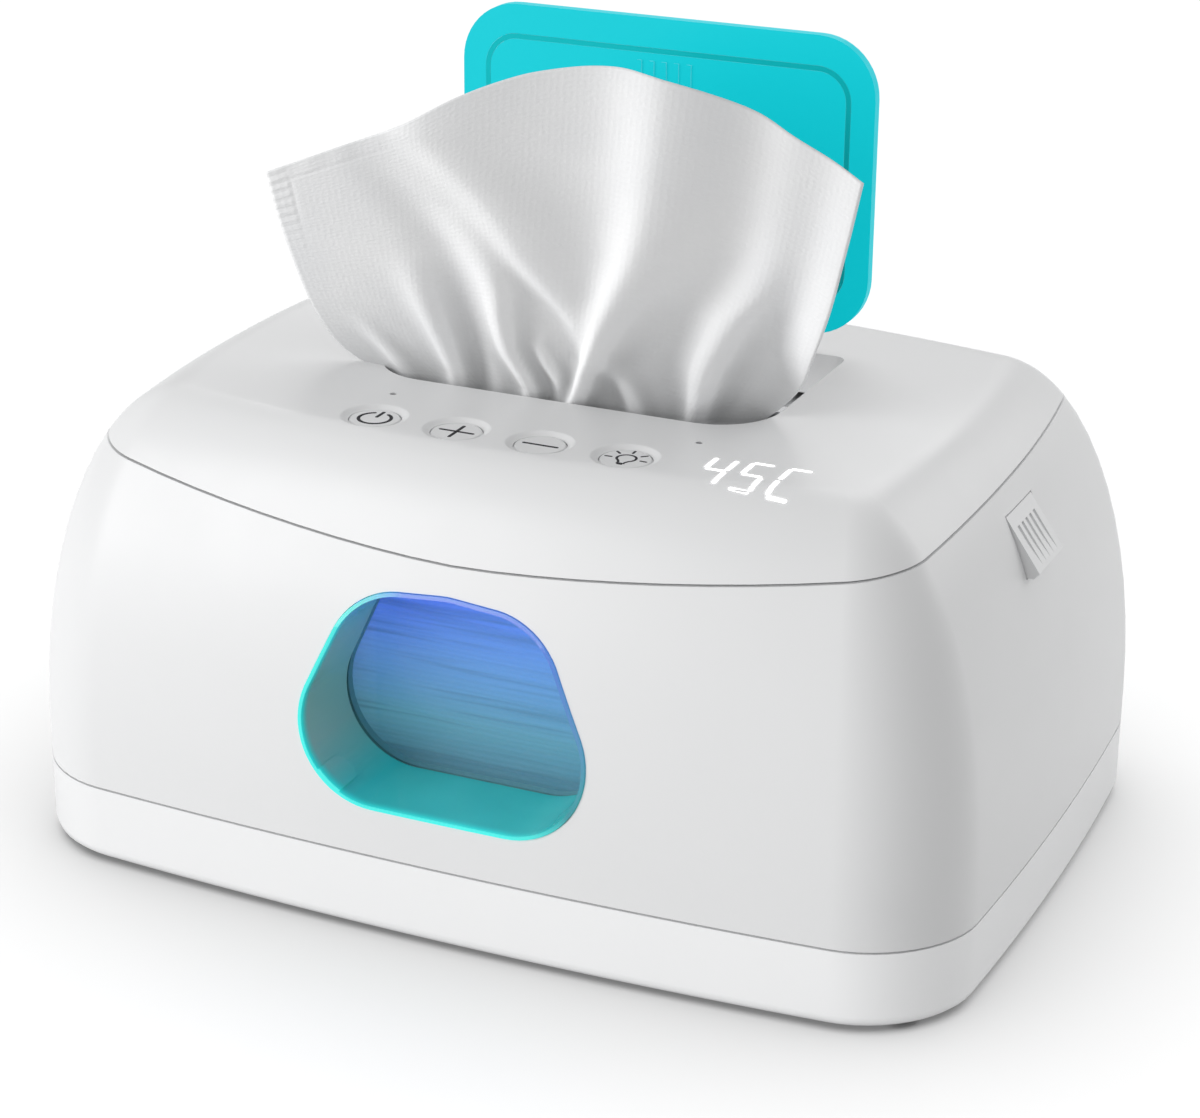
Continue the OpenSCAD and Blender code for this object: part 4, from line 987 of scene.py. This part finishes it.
def wipe_point(s, row):
    """A point of the whole sheet in mm: rows from the free end on the stack to the top edge."""
    if row >= TAIL_ROWS + LOW_ROWS:
        return wipe_row(s, (row - TAIL_ROWS - LOW_ROWS) / ROWS)
    x, y, z = wipe_row(s, 0)
    x_low = x * GATHERED
    y_low = LOW_Y + 1.2 * (math.sin(26 * s + 1.0) + 0.6 * math.sin(47 * s))
    if row >= TAIL_ROWS:
        f = (row - TAIL_ROWS) / LOW_ROWS
        x_here = mix(x_low, x, ease(f * 1.6 - 0.6))
        return x_here, mix(y_low, y, ease(f * 1.25 - 0.12)), mix(LOW_Z, z, f)
    out = TAIL[TAIL_ROWS - row]
    f = out / TAIL[-1]
    x_flat = mix(x_low, (s - 0.5) * REST_WIDTH, ease(f * 1.6))
    ripple = 0.35 + 0.35 * math.sin(30 * s + 4 * f)
    low = REST_Z + ripple * ease(f * 3) + 2.0 * math.exp(-out / 1.5)
    start = mix(y_low, LOW_Y, ease(f * 3)) + 1.2
    if out <= BACK:
        return x_flat, start + out, low
    turn = min(math.pi, (out - BACK) / TURN)
    over = max(0.0, out - BACK - math.pi * TURN)
    y_turned = start + BACK + TURN * math.sin(turn) - over
    return x_flat, y_turned, low + TURN * (1 - math.cos(turn))


def pressed_hem(shade, x, y):
    """Height of the puckered hem near the left corner; x and y run in from its edges in metres."""
    side_band, top_band = shade.span(x, 0.0053, 0.0043), shade.span(y, 0.006, 0.0045)
    side_waves = shade.math("SINE", shade.math("MULTIPLY", y, 1963))
    top_waves = shade.math("SINE", shade.math("MULTIPLY", x, 760))
    side_pucker = shade.math("MULTIPLY", side_waves, side_band)
    top_pucker = shade.math("MULTIPLY", top_waves, top_band)
    edge = shade.math("MINIMUM", x, y)
    seam_in, seam_out = shade.span(edge, 0.0045, 0.0053), shade.span(edge, 0.0063, 0.0055)
    seam = shade.math("MULTIPLY", shade.math("MULTIPLY", seam_in, seam_out), 1.6)
    relief = shade.math("SUBTRACT", shade.math("ADD", side_pucker, top_pucker), seam)
    near_corner = shade.span(shade.math("MAXIMUM", x, y), 0.034, 0.016)
    return shade.math("MULTIPLY", relief, near_corner)


# Places on the flat sheet times these are real metres near the drawn cloth's left corner
DRAWN_ACROSS, DRAWN_DOWN = 0.81, 0.59


def cloth():
    soft = {"Sheen_Weight": 0.25, "Sheen_Roughness": 0.4, "Specular_IOR_Level": 0.35}
    shade = Shade("wipe_cloth", (0.86, 0.865, 0.87), 0.62, **soft)
    flat = shade.add("ShaderNodeUVMap", uv_map="flat").outputs["UV"]
    split = shade.add("ShaderNodeSeparateXYZ")
    shade.link(flat, split.inputs["Vector"])
    fibres = shade.add("ShaderNodeTexNoise")
    fibres.inputs["Scale"].default_value = 700
    fibres.inputs["Detail"].default_value = 4
    shade.link(flat, fibres.inputs["Vector"])
    dots = shade.add("ShaderNodeTexVoronoi", feature="F1")
    dots.inputs["Scale"].default_value = 520
    dots.inputs["Randomness"].default_value = 0.25
    shade.link(flat, dots.inputs["Vector"])
    x = shade.math("MULTIPLY", split.outputs["X"], DRAWN_ACROSS)
    y = shade.math("MULTIPLY", split.outputs["Y"], DRAWN_DOWN)
    light = shade.ramp(
        shade.noise(40, 3), (0.3, (0.83, 0.835, 0.845)), (0.7, (0.88, 0.882, 0.885))
    )
    # Painted shade and highlight: a value for each point darkens the cloth towards grey at the foot
    # and in valleys, and lightens it on ridges
    painted_shading = shade.add("ShaderNodeAttribute", attribute_name="painted_shading").outputs["Fac"]
    shade.colour(shade.blend(painted_shading, (0.42, 0.425, 0.43), light))
    shade.bump(
        (fibres.outputs["Fac"], 0.00008), (dots.outputs["Distance"], 0.00006),
        (pressed_hem(shade, x, y), 0.00006),
    )
    return shade.material


def drawn_wipe():
    rows, n = TAIL_ROWS + LOW_ROWS + ROWS, COLS + 1
    points = []
    for row in range(rows + 1):
        for col in range(n):
            x, y, z = wipe_point(col / COLS, row)
            points.append((x * MM, y * MM, z * MM))
    sheet = add_mesh("drawn_wipe", points, strips(rows, n), cloth())
    uv = sheet.data.uv_layers.new(name="flat")
    for loop in sheet.data.loops:
        row, col = divmod(loop.vertex_index, n)
        uv.data[loop.index].uv = (0.18 * col / COLS, 0.2 * (rows - row) / rows)
    # Painted shade and highlight for each point of the cloth
    painted_shading_values = sheet.data.attributes.new("painted_shading", "FLOAT", "POINT")
    painted_shading_values.data.foreach_set("value", [painted_shading_at(x / MM, z / MM) for x, y, z in points])
    thick = sheet.modifiers.new("thickness", "SOLIDIFY")
    thick.thickness = 0.35 * MM
    thick.offset = 0
    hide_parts("top_wipe")
    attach(sheet, "cover")
    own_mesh(sheet)
    return sheet


def stack_cloth():
    shader_inputs = {"Emission_Strength": 1.0, "Specular_IOR_Level": 0.1}
    shade = Shade("stack_cloth", (0.8, 0.82, 0.85), 0.8, **shader_inputs)
    x, y, z = (shade.axis(letter) for letter in "XYZ")
    plain = shade.ramp(
        shade.noise(260, 3, stretch=(0.04, 0.04, 1)),
        (0.3, (0.5, 0.54, 0.6)), (0.7, (0.86, 0.87, 0.88)),
    )
    # Painted light: the glow that the night light above the window throws down the front of the
    # stack is painted on as emission, over a darker base colour
    lines = shade.noise(420, 2, stretch=(0.03, 0.03, 1), rough=0.6)
    lit = shade.ramp(
        shade.span(z, *GLOW_LEVELS),
        (0.0, (0.01, 0.03, 0.04)), (0.25, (0.06, 0.2, 0.26)), (0.5, (0.08, 0.2, 0.56)),
        (0.75, (0.06, 0.12, 0.78)), (1.0, (0.05, 0.08, 0.92)),
    )
    front = shade.span(y, -0.0505, -0.0515)
    middle = shade.span(shade.math("ABSOLUTE", x), 0.05, 0.03)
    painted_night_glow = shade.math("MULTIPLY", front, middle)
    strength = shade.math("MULTIPLY", painted_night_glow, shade.span(lines, 0.36, 0.52, 0.62, 1.06))
    shade.link(shade.blend(strength, (0, 0, 0), lit), shade.shader.inputs["Emission Color"])
    shade.colour(shade.blend(painted_night_glow, plain, (0.04, 0.1, 0.18)))
    shade.bump((shade.noise(1500, 3), 0.00005))
    return shade.material


def rounded_ring(half_x, half_y, corner, corner_steps, side_steps):
    """Points round a rectangle with rounded corners, from the right side round by the rear."""
    signs = ((1, 1), (-1, 1), (-1, -1), (1, -1))

    def on_corner(quarter, k):
        sx, sy = signs[quarter % 4]
        angle = math.radians(90 * quarter + 90 * k / corner_steps)
        return (
            sx * (half_x - corner) + corner * math.cos(angle),
            sy * (half_y - corner) + corner * math.sin(angle),
        )

    ring = []
    for quarter in range(4):
        ring += [on_corner(quarter, k) for k in range(corner_steps + 1)]
        (x0, y0), (x1, y1) = ring[-1], on_corner(quarter + 1, 0)
        ring += [
            (mix(x0, x1, k / side_steps), mix(y0, y1, k / side_steps))
            for k in range(1, side_steps)
        ]
    return ring


# Folded layers of the stack, rows of points in each, and rings of points over its top
LAYERS, LAYER_STEPS, CROWN_RINGS = 46, 4, 12


def stack_of_wipes():
    low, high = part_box("wipe_stack")
    mid_x, mid_y = (low[0] + high[0]) / 2, (low[1] + high[1]) / 2
    ring = rounded_ring((high[0] - low[0]) / 2, (high[1] - low[1]) / 2, 0.008, 8, 40)
    top = high[2] - 0.0004
    points = []
    for layer in range(LAYERS):
        slip = 0.35 * math.sin(layer * 2.4) * math.sin(layer * 0.7 + 1)
        for step in range(LAYER_STEPS):
            f = step / LAYER_STEPS
            bulge = 0.42 * (abs(math.sin(math.pi * f)) - 1) - 0.35 + 0.3 * slip
            z = mix(low[2], top, (layer + f) / LAYERS)
            for x, y in ring:
                size = math.hypot(x, y)
                wave = 0.12 * math.sin(x * 210 + layer * 1.3) + 0.1 * math.sin(x * 90 - layer * 0.9)
                out = (bulge + wave) * MM
                lift = 0.00018 * math.sin(x * 60 + y * 50 + layer)
                points.append((mid_x + x + out * x / size, mid_y + y + out * y / size, z + lift))
    # The top is a soft crowned sheet, ringed inwards
    for ring_no in range(1, CROWN_RINGS + 1):
        f = 1 - ring_no / CROWN_RINGS
        for x, y in ring:
            z = top + 0.0003 * math.sin(x * f * 90) * math.cos(y * f * 110) * f
            points.append((mid_x + x * f * 0.995, mid_y + y * f * 0.995, z))
    n = len(ring)
    faces = strips(LAYERS * LAYER_STEPS - 1 + CROWN_RINGS, n, closed=True)
    faces.append(tuple(range(n - 1, -1, -1)))
    stack = add_mesh("stack_of_wipes", points, faces, stack_cloth())
    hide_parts("wipe_stack")
    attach(stack, "housing")
    return stack


# Middle line of the ribbon cable from the power board to the cover, as (y, z) in mm
CABLE = (
    (63.65, 73.0), (63.65, 75.1), (64.68, 81.0), (64.68, 95.0), (64.3, 96.6), (62.8, 97.55),
    (55.5, 97.55),
)
# Columns across the cable and to each core, then width, half thickness and core height in mm
CABLE_COLUMNS, CORE_COLUMNS = 80, 4
CABLE_WIDTH, CABLE_HALF, CORE_HEIGHT = 20.0, 0.2, 0.05


def hinge_ribbon(material):
    """The ribbon that crosses the cover hinge; its cores show as ridges."""
    path = []
    for (y0, z0), (y1, z1) in zip(CABLE, CABLE[1:]):
        steps = max(2, round(math.dist((y0, z0), (y1, z1)) / 0.6))
        path += [(mix(y0, y1, k / steps), mix(z0, z1, k / steps)) for k in range(steps)]
    path.append(CABLE[-1])
    columns = CABLE_COLUMNS
    points, faces = [], []
    for k, (y, z) in enumerate(path):
        (y0, z0), (y1, z1) = path[max(0, k - 1)], path[min(len(path) - 1, k + 1)]
        size = math.dist((y0, z0), (y1, z1))
        ny, nz = (z1 - z0) / size, (y0 - y1) / size
        for side in (1, -1):
            for c in range(columns + 1):
                core = CORE_HEIGHT * abs(math.sin(math.pi * c / CORE_COLUMNS))
                out = side * (CABLE_HALF + core)
                x = (c / columns - 0.5) * CABLE_WIDTH
                points.append((x * MM, (y + ny * out) * MM, (z + nz * out) * MM))
    n = columns + 1
    for r in range(len(path) - 1):
        a, b = 2 * n * r, 2 * n * (r + 1)
        for c in range(columns):
            faces += [
                (a + c, a + c + 1, b + c + 1, b + c),
                (a + n + c + 1, a + n + c, b + n + c, b + n + c + 1),
            ]
        faces += [
            (a, b, b + n, a + n),
            (a + columns, a + n + columns, b + n + columns, b + columns),
        ]
    end = 2 * n * (len(path) - 1)
    for c in range(columns):
        faces += [
            (c, n + c, n + c + 1, c + 1),
            (end + c, end + c + 1, end + n + c + 1, end + n + c),
        ]
    cable = add_mesh("hinge_ribbon", points, faces, material)
    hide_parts("hinge_cable")
    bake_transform(cable)


def floor():
    shade = Shade("floor", (0.45, 0.45, 0.45), 0.6)
    shade.vary_colour(shade.noise(4, 2), (0.448, 0.449, 0.45), (0.453, 0.453, 0.454))
    size = 6
    corners = [(-size, -size, 0), (size, -size, 0), (size, size, 0), (-size, size, 0)]
    plane = add_mesh("floor", corners, [(0, 1, 2, 3)], shade.material)
    plane.visible_diffuse = False
    return plane


colours()
camera()
sky()
made = dress_nodes()
shells = smooth_shells(made)
table = floor()
button_icons()
display_digits()
wipe = drawn_wipe()
stack = stack_of_wipes()
hinge_ribbon(made["ribbon"])
# The photo shows no teal light or reflection of the lid on the cover
for piece in ("flip_lid", "lid_seal"):
    frame["nodes"][piece].visible_diffuse = False
    frame["nodes"][piece].visible_glossy = False
for lamp in (key_light(), side_light(), rear_light()):
    link_light(lamp, "EXCLUDE", table, wipe)
for lamp in (cloth_left_light(), cloth_right_light(), cloth_front_light(), cloth_back_light()):
    link_light(lamp, "INCLUDE", wipe)
link_light(floor_light(), "INCLUDE", table)
link_light(base_light(), "INCLUDE", shells["base_tray"])
link_light(ledge_light(), "INCLUDE", shells["top_cover"], frame["nodes"]["cover_liner"])
link_light(night_light(), "INCLUDE", stack, frame["nodes"]["inner_bin"])
